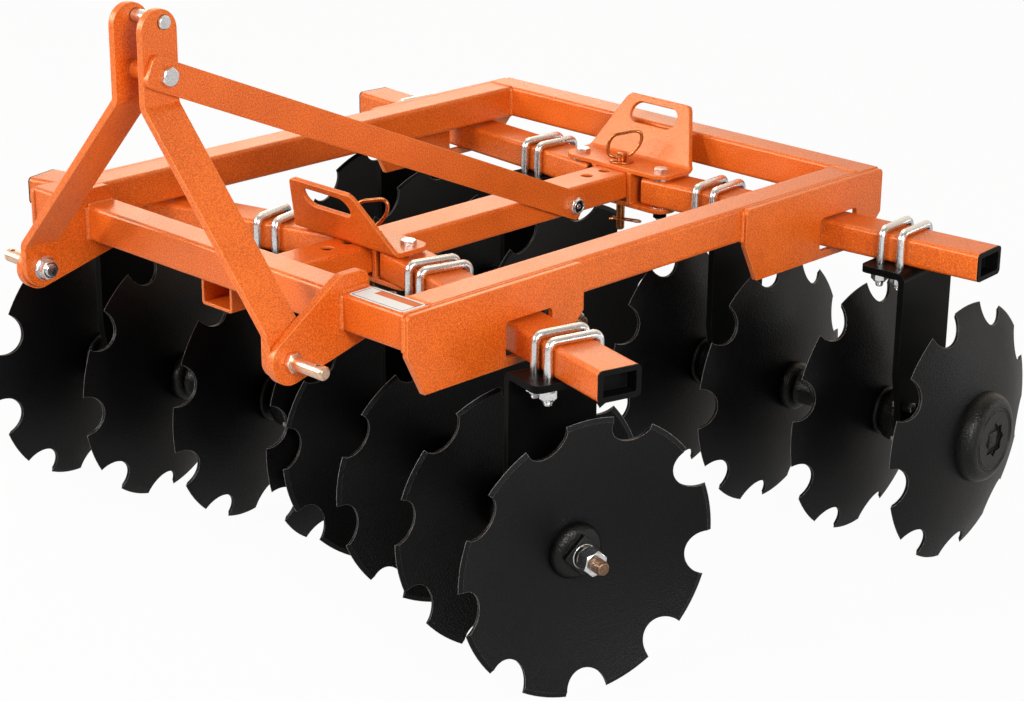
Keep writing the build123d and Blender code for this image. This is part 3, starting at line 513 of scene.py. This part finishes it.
# %% U-bolt rod
beam_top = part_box("front_left_beam")[1][2]
beam_w = 75 * mm
foot_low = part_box("front_left_standards")[1][2] - 12 * mm
rod_r, bend, play = 7.3 * mm, 12 * mm, 0.3 * mm
leg = beam_w / 2 + rod_r + play
crown = beam_top + rod_r + play
leg_end = foot_low - 8 * mm
rise = crown - bend - leg_end
alone()
bpy.ops.mesh.primitive_circle_add(vertices=16, radius=rod_r, fill_type="NGON",
                                  location=(0, leg, leg_end))
rod = bpy.context.object
bpy.ops.object.mode_set(mode="EDIT")
bpy.ops.mesh.select_all(action="SELECT")
bpy.ops.mesh.extrude_region_move(TRANSFORM_OT_translate={"value": (0, 0, rise)})
for centre_y, straight in ((leg - bend, (0, -2 * (leg - bend), 0)), (bend - leg, (0, 0, -rise))):
    bpy.ops.mesh.spin(steps=8, angle=-math.pi / 2, center=(0, centre_y, crown - bend), axis=(1, 0, 0))
    bpy.ops.mesh.extrude_region_move(TRANSFORM_OT_translate={"value": straight})
bpy.ops.object.mode_set(mode="OBJECT")
tidy_up(rod)
rod.data.materials.append(zinc)
print("rod", [round(v, 4) for v in rod.dimensions], "crown", round(crown, 4))

# %% Its nuts and tails, joined to the rod
flange = turned(rounded(16.5, 0, 3, 0.6) + [(14, 3.6), (13.4, 6)], sides=32)
nut_body = hexagon(26, 18)
nylon = turned([(11.2, 17.4), (11.2, 19.4), (10.6, 20.8), (9, 21.4)], sides=28)
tail = thread(rod_r / mm, 8, 30, 1.9)
units = (flange, nut_body, nylon, tail)
feet = [stand((0, y, foot_low), (0, 0, -1), (1, 0, 0)) for y in (leg, -leg)]
alone(rod, *[put(unit, below, zinc) for below in feet for unit in units])
bpy.ops.object.join()
discard(*units)
print("U-bolt triangles", sum(len(f.vertices) - 2 for f in rod.data.polygons))

# %% Sixteen of them, four to a gang, placed from the ends of its two standards
for gang in gangs:
    origin, axis = gang_line(gang)
    low, high = reach(f"{gang}_standards", origin, axis)
    way = way_of[gang]
    first, last = (low, high) if way > 0 else (high, low)
    spots = [first + way * gap * mm for gap in (31, 69)] + [last - way * gap * mm for gap in (59, 21)]
    copies = []
    for along in spots:
        spot = origin + axis * along
        copies.append(put(rod, stand((spot.x, spot.y, 0), UP, axis)))
    build(f"{gang}_u_bolt_set", f"{gang}_beam", copies, [f"{gang}_u_bolts"])
discard(rod)
print("U-bolt sets", len(gangs))

# %% [markdown]
# ### Spools and bearings
# The spools are rough castings with fat, rounded ends that press on the discs. Those that run through a
# bearing have a short end and a slim neck there. A bearing housing has the same heavy look, and is bolted
# to the blade of its standard. All are turned shapes with a bore, so their last ring closes on their first.

# %% Cast spools
low, high = reach("front_left_spools", *gang_line("front_left"))
disc_pitch = 195.0
spool_l = (high - low) / mm - 2 * disc_pitch
bore_r = 20.1
full = [(bore_r, 0), (39, 0), (42.5, 2), (44, 7), (44, 13), (42, 19), (37.5, 23.5), (32.5, 26), (30.5, 30),
        (29.5, 38)]
tail_end = [(r, spool_l - z) for r, z in reversed(full[1:])]
full_spool = turned(full + tail_end + [(bore_r, spool_l)], sides=40, hollow=True)
neck = [(bore_r, 0), (39, 0), (42.5, 1.5), (44, 5), (43.2, 9), (39.5, 12), (34, 12.7), (25.6, 13.1), (25, 14),
        (25, spool_l - 47), (29.5, spool_l - 41)]
neck_spool = turned(neck + tail_end[1:] + [(bore_r, spool_l)], sides=40, hollow=True)
for gang in gangs:
    origin, axis = gang_line(gang)
    low, high = reach(f"{gang}_spools", origin, axis)
    way = way_of[gang]
    copies = []
    for i, unit in enumerate((neck_spool, full_spool, neck_spool)):
        start = (high if way > 0 else low) - way * i * disc_pitch * mm
        copies.append(put(unit, stand(origin + axis * start, axis * -way), cast_black))
    build(f"{gang}_spool_set", f"{gang}_gang", copies, [f"{gang}_spools"])
discard(full_spool, neck_spool)
print("spool length", round(spool_l, 2))

# %% Bearing housings, with their flange bolts through the standards
housing = turned([(26, 0), (52, 0), (52, 5), (50.5, 6.5), (48, 7.5), (48, 34), (46.5, 39.5), (43, 43.2),
                  (37, 45), (26, 45)], sides=40, hollow=True)
head = hexagon(16, 6.5)
nut = hexagon(17, 12)
foot_l, blade_t, bolt_circle = 90 * mm, 12 * mm, 44 * mm
for gang in gangs:
    origin, axis = gang_line(gang)
    low, high = reach(f"{gang}_standards", origin, axis)
    way = way_of[gang]
    copies, bolts = [], []
    for face in (low, high - foot_l) if way > 0 else (low + foot_l, high):
        outside = stand(origin + axis * face, axis * -way)
        behind = stand(origin + axis * (face + way * (blade_t + 7 * mm)), axis * way)
        copies.append(put(housing, stand(origin + axis * (face + way * blade_t), axis * way), cast_black))
        for turn in (45, 135, 225, 315):
            spot = spun(math.radians(turn)) @ Matrix.Translation((bolt_circle, 0, 0))
            bolts += [put(head, outside @ spot, zinc), put(nut, behind @ spot, zinc)]
    build(f"{gang}_bearing_set", f"{gang}_beam", copies, [f"{gang}_bearings"])
    build(f"{gang}_bearing_bolts", f"{gang}_beam", bolts)
discard(housing, head, nut)
print("bearings", 2 * len(gangs))

# %% [markdown]
# ### Gang axles
# A square bar carries each gang. At one end a cast bell with a raised ring and a star-shaped socket
# bears on the last disc's bulge. At the other a domed boss, a square plate washer, a spring washer and
# a big nut pull the stack tight in the hollow of the first disc. The star is two squares, one turned by
# an eighth of a turn, and each is cut from the bell by a Boolean.

# %% Bells: a low one for a front gang, a tall one for a rear gang
def bell(height):
    lip = [(50, 0), (62, -2.3), (78, -6.4), (80, -5.2), (80, 0.08 * height)]
    body = [(79.4, height * 0.3), (77.6, height * 0.52), (74.8, height * 0.71), (71, height * 0.85),
            (67, height * 0.94), (63, height * 0.985), (59.5, height)]
    groove = [(58, height), (57, height - 1.8), (55.4, height - 1.8), (54.4, height - 0.6),
              (53, height - 0.6), (52, height - 1.6), (50.6, height - 1.6), (49.8, height - 0.2),
              (36, height - 0.2)]
    piece = turned(lip + body + groove, sides=64, angle=28)
    for turn in (0, 45):
        socket = turned([(32, height - 6), (32, height + 6)], sides=4)
        socket.data.transform(spun(math.radians(turn)))
        piece = meet(piece, socket, "DIFFERENCE")
    return piece


bell_h = {1: 14, -1: 26}
bells = {way: bell(height) for way, height in bell_h.items()}
print("bells", [[round(v, 4) for v in unit.dimensions] for unit in bells.values()])

# %% Boss and square washer
def eased_block(x, y, z, ease, middle_z=0):
    """A block in millimetres, its edges eased by a bevel."""
    alone()
    bpy.ops.mesh.primitive_cube_add(size=1, location=(0, 0, middle_z * mm))
    block = bpy.context.object
    block.scale = (x * mm, y * mm, z * mm)
    bpy.ops.object.transform_apply(scale=True)
    bpy.ops.object.mode_set(mode="EDIT")
    bpy.ops.mesh.select_all(action="SELECT")
    bpy.ops.mesh.bevel(offset=ease * mm, segments=2, affect="EDGES")
    bpy.ops.object.mode_set(mode="OBJECT")
    return tidy_up(block)


boss_h, plate_t, spring_t, nut_t = 18, 10, 10, 25
boss = turned([(46, 0), (46, 4), (45, 8), (42.6, 11.8), (39, 15), (34.5, 17.2), (29.5, boss_h), (22, boss_h)],
              sides=48)
plate = eased_block(48, 48, plate_t, 1.6, plate_t / 2)
print("plate", [round(v, 4) for v in plate.dimensions])

# %% Spring washer with its slanted split, bright rim, nut and threaded end
spring = turned([(12.5, 0), (18.6, 0), (19.4, 0.8), (19.4, spring_t - 0.8), (18.6, spring_t),
                 (12.5, spring_t)], sides=40, hollow=True)
alone()
bpy.ops.mesh.primitive_cube_add(size=1, location=(16 * mm, 0, spring_t / 2 * mm))
split = bpy.context.object
split.scale = (12 * mm, 1.8 * mm, 16 * mm)
split.rotation_euler = (math.radians(35), 0, 0)
bpy.ops.object.transform_apply(scale=True, rotation=True)
spring = meet(spring, split, "DIFFERENCE")
rim = turned([(17.6, 0.2), (20.2, 0.2), (20.4, 0.9), (20, 1.6), (17.6, 1.6)], sides=48, hollow=True)
big_nut = hexagon(37, nut_t, both=True)
big_thread = thread(12, 0, 49, 2.5)
print("nut triangles", sum(len(f.vertices) - 2 for f in big_nut.data.polygons))

# %% The four axles, each nut stopped where it happened to be tight
nut_turn = {"front_left": 43, "front_right": 35, "rear_left": 10, "rear_right": 50}
nut_in, star_depth = 77 * mm, 2.5
bell_in = {1: 22 * mm, -1: 34 * mm}
stack_h = boss_h + plate_t
nuts = ((spring, stack_h, oiled_steel), (rim, stack_h, zinc), (big_nut, stack_h + spring_t, zinc),
        (big_thread, 35, brown_zinc))
for gang in gangs:
    origin, axis = gang_line(gang)
    low, high = reach(f"{gang}_axle", origin, axis)
    way = way_of[gang]
    nut_end, bell_end = (high, low) if way > 0 else (low, high)
    nut_at, bell_at = nut_end - way * nut_in, bell_end + way * bell_in[way]
    bar_end = bell_at - way * (bell_h[way] - star_depth) * mm
    bar = eased_block(28, 28, abs(bar_end - nut_at) / mm, 1.8)
    turn = math.radians(nut_turn[gang])
    seat = stand(origin + axis * nut_at, axis * way)
    copies = [put(bar, stand(origin + axis * (bar_end + nut_at) / 2, axis), cast_black),
              put(bells[way], stand(origin + axis * bell_at, axis * -way), cast_black),
              put(boss, seat, cast_black), put(plate, seat @ lifted(boss_h, turn), cast_black)]
    build(f"{gang}_axle_set", f"{gang}_gang", copies, [f"{gang}_axle"])
    copies = [put(unit, seat @ lifted(rise, turn * 0.4), paint) for unit, rise, paint in nuts]
    build(f"{gang}_end_nut", f"{gang}_gang", copies)
    discard(bar)
discard(*bells.values(), boss, plate, spring, rim, big_nut, big_thread)
print("axles", len(gangs))

# %% [markdown]
# ### Hitch and adjuster fasteners
# The mast's two bolts, the four pivot bolts and the lower hitch pins all have chamfered hexagons. The
# foot bolt of the mast's brace shows its lock nut to the left, with a dark nylon ring.

# %% Mast bolts: one above through both bars and the brace, one at the brace's foot
low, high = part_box("mast_bolts")
brace_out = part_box("mast_braces")[1][0]
centre_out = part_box("centre_tube")[1][0]
bar_out = 0.040
corner_r, flat_r = 16.166 * mm, 14 * mm
top_at = (low[1] + corner_r, high[2] - flat_r)
foot_at = (high[1] - corner_r, low[2] + flat_r)
bolt_head = hexagon(28, 10)
lock_nut = hexagon(28, 11)
collar = turned([(13.2, 11), (13.2, 13.8), (12.4, 15), (10.6, 15), (10.2, 14), (10.2, 11)], sides=32,
                hollow=True)
nylon = turned([(5, 13.4), (10.3, 13.6), (10.3, 11), (5, 11)], sides=32, hollow=True)
shank = turned([(5.1, 8), (5.1, 12.6), (4, 13.6)], sides=24)
washer = turned(rounded(16, 0, 2.4, 0.6), sides=32)
between = turned(rounded(9, 0, (brace_out + bar_out) / mm, 0.2), sides=32)
long_shank = turned(rounded(9, 0, (brace_out + centre_out) / mm, 0.2), sides=32)
lock_set = ((lock_nut, zinc), (collar, zinc), (nylon, plastic))
far = stand((-bar_out, *top_at), (-1, 0, 0))
near = stand((brace_out, *foot_at), (1, 0, 0)) @ spun(0.2)
copies = [put(bolt_head, stand((brace_out, *top_at), (1, 0, 0)) @ spun(0.25), zinc),
          put(between, stand((-bar_out, *top_at), (1, 0, 0)), zinc), put(shank, near, zinc),
          put(bolt_head, stand((-centre_out, *foot_at), (-1, 0, 0)), zinc),
          put(long_shank, stand((-centre_out, *foot_at), (1, 0, 0)), zinc),
          put(washer, stand((centre_out, *foot_at), (1, 0, 0)), zinc)]
copies += [put(unit, place, paint) for place in (far, near) for unit, paint in lock_set]
build("mast_bolt_set", "frame", copies, ["mast_bolts"])
discard(bolt_head, lock_nut, collar, nylon, shank, washer, between, long_shank)
print("mast bolts", [round(v, 3) for v in top_at], [round(v, 3) for v in foot_at])

# %% Lower hitch pins: collar, pin with its cross hole, shank, washer and nut
low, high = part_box("lower_hitch_pins")
pin_y, pin_z = (low[1] + high[1]) / 2, (low[2] + high[2]) / 2
lug_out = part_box("hitch_lugs")[1][0]
pin_l = (high[0] - lug_out) / mm
collar = hexagon(29, 10, both=True)
ball_pin = turned([(8, 9), (11, 9.4), (11, pin_l - 3.2), (8.2, pin_l)], sides=48)
ball_pin = meet(ball_pin, cross_hole(4.6, pin_l - 14, 24), "DIFFERENCE")
shank = turned(rounded(10, -46, 0.5, 0.8), sides=32)
washer = turned(rounded(20, -29, -26, 0.8), sides=40)
nut = hexagon(29, 14, both=True)
nut.data.transform(Matrix.Translation((0, 0, -43 * mm)))
units = ((collar, gold_zinc), (ball_pin, gold_zinc), (shank, zinc), (washer, zinc), (nut, zinc))
seats = [stand((side * lug_out, pin_y, pin_z), (side, 0, 0)) for side in (1, -1)]
copies = [put(unit, seat, paint) for seat in seats for unit, paint in units]
build("lower_pin_set", "frame", copies, ["lower_hitch_pins"])
discard(collar, ball_pin, shank, washer, nut)
print("hitch pins at", round(pin_y, 3), round(pin_z, 3))

# %% Pivot bolts: heads on the bracket, spacers about the beam, dark nuts under the sleeve
head = hexagon(24, 8)
nut = hexagon(24, 14, both=True)
plate_h, stud_out, clear = 8, 18, 0.3
for end in ends:
    low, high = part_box(f"{end}_pivot_bolts")
    flange_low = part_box(f"{end}_bracket")[0][2]
    sleeve_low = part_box(f"{end}_sleeve")[0][2]
    beam_low, beam_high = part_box(f"{end}_left_beam")
    mid_y = (low[1] + high[1]) / 2
    x = high[0] - 21 * mm
    stud = turned(rounded(8, 0, (flange_low - sleeve_low) / mm + plate_h + stud_out, 1.2), sides=32)
    upper = turned(rounded(21, 0, (flange_low - beam_high[2]) / mm - clear, 0.8), sides=40)
    lower = turned([(21, 0), (21, (beam_low[2] - sleeve_low) / mm - plate_h - clear)], sides=40)
    units = ((stud, sleeve_low - stud_out * mm, zinc), (upper, beam_high[2] + clear * mm, zinc),
             (lower, sleeve_low + plate_h * mm, zinc), (nut, sleeve_low - 14 * mm, black),
             (head, flange_low + plate_h * mm, zinc))
    copies = []
    for side in (1, -1):
        turn = spun(0.35 * side + (0.3 if end == "rear" else 0))
        for unit, z, paint in units:
            copies.append(put(unit, Matrix.Translation((side * x, mid_y, z)) @ turn, paint))
    build(f"{end}_pivot_bolt_set", f"{end}_adjuster", copies, [f"{end}_pivot_bolts"])
    discard(stud, upper, lower)
discard(head, nut)
print("pivot bolts placed")

# %% [markdown]
# ### Lock pins
# A pin drops through bracket, centre tube and sleeve. It has a copper-coloured plating, a loose washer,
# and a pull ring bent from wire through the cross hole of its head. The shank is turned, and the ring is a
# curve with a round bevel, because a bent wire is quicker to draw than to extrude. Curves are
# turned to mesh at once.

# %% Helper: bent wire
def wire_piece(name, points, radius, facets, steps, closed=False):
    """A smooth curve led by points in millimetres, made round and turned to mesh."""
    line = bpy.data.curves.new(name, "CURVE")
    line.dimensions = "3D"
    line.bevel_depth = radius * mm
    line.bevel_resolution = facets
    line.use_fill_caps = not closed
    run = line.splines.new("NURBS")
    run.points.add(len(points) - 1)
    for knot, place in zip(run.points, points):
        knot.co = (*[v * mm for v in place], 1)
    run.order_u = 3
    run.use_cyclic_u = closed
    run.use_endpoint_u = not closed
    line.resolution_u = steps
    thing = bpy.data.objects.new(name, line)
    bpy.context.collection.objects.link(thing)
    alone(thing)
    bpy.ops.object.convert(target="MESH")
    return tidy_up(bpy.context.object)


print("wire helper ready")

# %% Lock pins
ring_bend = ((0, 0), (-14, -3), (-27, 3), (-25, 27), (-15, 41), (6, 45), (25, 50), (36, 45), (36, 29),
             (25, 12), (12, 0))
ring_turn = {"front": 20, "rear": 40}
for end in ends:
    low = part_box(f"{end}_lock_pin")[0]
    seat_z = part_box(f"{end}_bracket")[0][2] + plate_h * mm
    pin_y = joints[f"{end}_left_beam_pivot"]["pos_m"][1]
    above = (seat_z - low[2]) / mm
    eye = above + 10.5
    pin = turned([(5, 0), (8, 3), (8, above)] + rounded(9.2, above + 3, above + 18, 1.6), sides=40)
    pin = meet(pin, cross_hole(3.1, eye, 20), "DIFFERENCE")
    loose = turned(rounded(22, above, above + 3, 0.8), sides=48)
    ring = wire_piece("pull_ring", [(x, 0, eye + z) for x, z in ring_bend], 3.2, 4, 8, closed=True)
    seat = Matrix.Translation((0, pin_y, low[2])) @ spun(math.radians(ring_turn[end]))
    copies = [put(unit, seat, copper_zinc) for unit in (pin, loose, ring)]
    build(f"{end}_lock_pin_set", f"{end}_adjuster", copies, [f"{end}_lock_pin"])
    discard(pin, loose, ring)
print("lock pins", len(ends))

# %% [markdown]
# A hairpin clip keeps each lock pin from lifting out. Its straight leg goes through the pin, and its
# waved leg grips the pin from outside. It is bent wire too, so the same helper draws it.

# %% Hairpin clips
clip_shape = ((-16, 0), (-2, 0), (14, 0), (27, 0), (36, 0), (43, -3), (44, -10), (38, -13.5), (31, -11),
              (24, -10.5), (16, -10), (8, -10.2), (2, -11.5), (-4, -10.5), (-9, -9.5), (-14, -12.5),
              (-17, -14))
clip_turn = {"front": 0.9, "rear": 0.35}
clip = wire_piece("clip", [(x, y, 0) for x, y in clip_shape], 1.7, 3, 6)
for end in ends:
    pin_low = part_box(f"{end}_lock_pin")[0][2]
    pin_y = joints[f"{end}_left_beam_pivot"]["pos_m"][1]
    seat = Matrix.Translation((0, pin_y, pin_low + 22 * mm)) @ spun(clip_turn[end])
    build(f"{end}_lock_clip", f"{end}_adjuster", [put(clip, seat, copper_zinc)])
discard(clip)
print("clips placed")

# %% [markdown]
# ### Welds
# The frame is welded together, and a hand weld is a row of small overlapping ripples. One ripple is a
# flattened ball, an Array modifier repeats it along the seam, and the applied strip is laid on the seam.

# %% Helpers: weld beads
def ripple(width, proud):
    alone()
    bpy.ops.mesh.primitive_uv_sphere_add(segments=8, ring_count=6, radius=1)
    drop = bpy.context.object
    drop.scale = (width * 0.42 * mm, width / 2 * mm, proud * mm)
    bpy.ops.object.transform_apply(scale=True)
    bpy.ops.object.shade_smooth()
    return drop


thin, wide, heavy = ripple(7, 2.8), ripple(10, 3.8), ripple(14, 5.5)


def bead(start, end, out, drop=thin):
    """A seam of drops from start to end, standing proud along out."""
    start, run = Vector(start), Vector(end) - Vector(start)
    step = 3.0 * mm if drop == thin else 4.0 * mm
    strip = put(drop, Matrix.Identity(4), orange)
    row = strip.modifiers.new("row", "ARRAY")
    row.use_relative_offset = False
    row.use_constant_offset = True
    row.constant_offset_displace = (step, 0, 0)
    row.count = max(2, int(run.length / step) + 1)
    alone(strip)
    bpy.ops.object.modifier_apply(modifier="row")
    strip.data.transform(stand(start, out, run))
    return strip


def upright(x, y, z0, z1, out, drop=thin):
    return bead((x, y, z0), (x, y, z1), out, drop)


def fore_aft(x, y0, y1, z, out, drop=thin):
    return bead((x, y0, z), (x, y1, z), out, drop)


def crosswise(x0, x1, y, z, out):
    return bead((x0, y, z), (x1, y, z), out)


print("weld helpers ready")

# %% Frame welds
front_tube, rear_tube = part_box("front_cross_tube"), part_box("rear_cross_tube")
centre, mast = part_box("centre_tube"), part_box("mast_bars")
low_z, top_z = front_tube[0][2], front_tube[1][2]
guide_l = 378 * mm
lug_in, lug_face = 0.308, 0.322
seams = []
for side, name in ((1, "left"), (-1, "right")):
    rail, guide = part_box(f"{name}_side_rail"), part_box(f"{name}_guide_plates")
    inner, outer = (rail[0][0], rail[1][0]) if side > 0 else (rail[1][0], rail[0][0])
    in_x, out_x = inner + side * 5 * mm, outer - side * 5 * mm
    # where the rail butts on the two cross tubes: across its top, up its inner side, across its bottom
    for y, ahead in ((rail[0][1], 1), (rail[1][1], -1)):
        seams += [crosswise(in_x, out_x, y, top_z - 0.4 * mm, UP),
                  upright(inner - side * 0.3 * mm, y + ahead * mm, low_z + 5 * mm, top_z - 5 * mm,
                          (-side, ahead, 0), wide),
                  crosswise(in_x, out_x, y, low_z + 0.4 * mm, -UP)]
    # along the top of both guide plates, then down their front edges
    for y0, y1 in ((guide[0][1], guide[0][1] + guide_l), (guide[1][1] - guide_l, guide[1][1])):
        seams.append(fore_aft(outer - side * 1.2 * mm, y0 + 12 * mm, y1 - 12 * mm, guide[1][2] - 1.4 * mm,
                              (side * 0.5, 0, 1)))
    seams += [upright(outer + side * 1.5 * mm, guide[0][1] + 0.5 * mm, low_z + 3 * mm, top_z - 8 * mm,
                      (0, -1, 0), wide),
              upright(outer + side * 1.0 * mm, guide[1][1] - guide_l, low_z + 3 * mm, top_z - 8 * mm,
                      (side, -1, 0), wide)]
    # both faces of the hitch lug, about the front tube
    tube_front, tube_back = front_tube[0][1], front_tube[1][1]
    for x, face in ((side * lug_face, side), (side * lug_in, -side)):
        seams += [upright(x, tube_front + 0.6 * mm, low_z + 5 * mm, top_z - 5 * mm, (face, -1, 0), heavy),
                  fore_aft(x, tube_front + 6 * mm, tube_back - 8 * mm, top_z - 0.4 * mm, (face, 0, 1), wide),
                  upright(x, tube_back - 0.4 * mm, low_z + 5 * mm, low_z + 34 * mm, (face, 1, 0))]
    # the foot of the mast bar, inside the lug
    for y, ahead in ((mast[0][1] + 3 * mm, -1), (mast[1][1] - 0.5 * mm, 1)):
        seams.append(upright(side * lug_in, y, mast[0][2] + 32 * mm, mast[0][2] + 62 * mm,
                             (side * 0.5, ahead, 0)))
# the centre tube hangs under the two cross tubes
for x, face in ((centre[1][0], 1), (centre[0][0], -1)):
    seams += [fore_aft(x, centre[0][1] + 2 * mm, front_tube[1][1] - 6 * mm, low_z, (face, 0, 0.3)),
              fore_aft(x, rear_tube[0][1] + 6 * mm, centre[1][1] - 2 * mm, low_z, (face, 0, 0.3))]
for y, ahead in ((centre[0][1], -1), (centre[1][1], 1)):
    seams.append(crosswise(centre[0][0] + 4 * mm, centre[1][0] - 4 * mm, y, low_z, (0, ahead, 0.3)))
build("frame_welds", "frame", seams)
print("frame seams", len(seams))

# %% Adjuster welds: the sleeve's cheeks to the bracket above and to the sleeve's own plate below
cheek_x = 47.5 * mm
for end in ends:
    low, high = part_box(f"{end}_sleeve")
    mid_y = (low[1] + high[1]) / 2
    y0, y1 = mid_y - 26 * mm, mid_y + 26 * mm
    heights = ((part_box(f"{end}_bracket")[0][2], -1), (low[2] + 8 * mm, 1))
    seams = [fore_aft(side * cheek_x, y0, y1, z, (side, 0, up)) for side in (1, -1) for z, up in heights]
    build(f"{end}_adjuster_welds", f"{end}_adjuster", seams)
discard(thin, wide, heavy)
print("adjuster welds placed")

# %% [markdown]
# ### Label
# A blank label sits on the front tube by the left guide plate: a white film with a thin dark outline and
# an orange band. The film is a thin plate with rounded corners. Outline and band are painted where the
# plate's own coordinates fall between given limits, so no picture is needed.

# %% Label film
def label_film(corners):
    """White film with a dark outline near its edge and an orange band along its rear side."""
    (x0, y0), (x1, y1) = corners
    mat = bpy.data.materials.new("label_film")
    mat.use_nodes = True
    tree = mat.node_tree
    shader = tree.nodes["Principled BSDF"]
    shader.inputs["Roughness"].default_value = 0.5
    shader.inputs["Specular IOR Level"].default_value = 0.15
    place = add(tree, "ShaderNodeTexCoord")
    axes = add(tree, "ShaderNodeSeparateXYZ")
    wire(tree, (place.outputs["Object"], axes.inputs[0]))

    def join(operation, first, second):
        """A math node of one socket and either a number or a second socket."""
        if isinstance(second, float):
            node = add(tree, "ShaderNodeMath", {1: second}, operation=operation)
        else:
            node = add(tree, "ShaderNodeMath", operation=operation)
            wire(tree, (second, node.inputs[1]))
        wire(tree, (first, node.inputs[0]))
        return node.outputs[0]

    def inside(x_low, x_high, y_low, y_high):
        masks = [join("GREATER_THAN", axes.outputs[0], x_low), join("LESS_THAN", axes.outputs[0], x_high),
                 join("GREATER_THAN", axes.outputs[1], y_low), join("LESS_THAN", axes.outputs[1], y_high)]
        return join("MULTIPLY", join("MULTIPLY", masks[0], masks[1]), join("MULTIPLY", masks[2], masks[3]))

    rim, inset = 0.004, 0.0054
    outer = inside(x0 + rim, x1 - rim, y0 + rim, y1 - rim)
    inner = inside(x0 + inset, x1 - inset, y0 + inset, y1 - inset)
    band = inside(x0 + 0.026, x1 - inset, y1 - 0.021, y1 - inset)
    outline = join("SUBTRACT", outer, inner)
    grain_of = add(tree, "ShaderNodeGroup", node_tree=grain)
    white, ink, ribbon = (0.72, 0.72, 0.71, 1), (0.02, 0.02, 0.02, 1), (0.6, 0.12, 0.02, 1)
    first = add(tree, "ShaderNodeMix", {"A": white, "B": ink}, data_type="RGBA")
    second = add(tree, "ShaderNodeMix", {"B": ribbon}, data_type="RGBA")
    rise = add(tree, "ShaderNodeBump", {"Strength": 0.15, "Distance": 0.0003})
    wire(tree, (outline, first.inputs["Factor"]), (first.outputs["Result"], second.inputs["A"]),
         (band, second.inputs["Factor"]), (second.outputs["Result"], shader.inputs["Base Color"]),
         (grain_of.outputs["Height"], rise.inputs["Height"]),
         (rise.outputs["Normal"], shader.inputs["Normal"]))
    return mat


label_low, label_high = (0.333, front_tube[0][1] + 4 * mm), (0.452, front_tube[0][1] + 55 * mm)
film = label_film((label_low, label_high))
print("film", film.name)

# %% Blank label
size_x, size_y = label_high[0] - label_low[0], label_high[1] - label_low[1]
middle = ((label_low[0] + label_high[0]) / 2, (label_low[1] + label_high[1]) / 2, top_z + 0.05 * mm)
alone()
bpy.ops.mesh.primitive_plane_add(size=1)
label = bpy.context.object
label.scale = (size_x, size_y, 1)
bpy.ops.object.transform_apply(scale=True)
bpy.ops.object.mode_set(mode="EDIT")
bpy.ops.mesh.select_all(action="SELECT")
bpy.ops.mesh.bevel(offset=8 * mm, segments=6, affect="VERTICES")
bpy.ops.mesh.extrude_region_move(TRANSFORM_OT_translate={"value": (0, 0, 0.3 * mm)})
bpy.ops.object.mode_set(mode="OBJECT")
tidy_up(label)
label.data.transform(Matrix.Translation(middle))
label.data.materials.append(film)
build("blank_label", "frame", [label])
print("label", round(size_x, 4), round(size_y, 4))
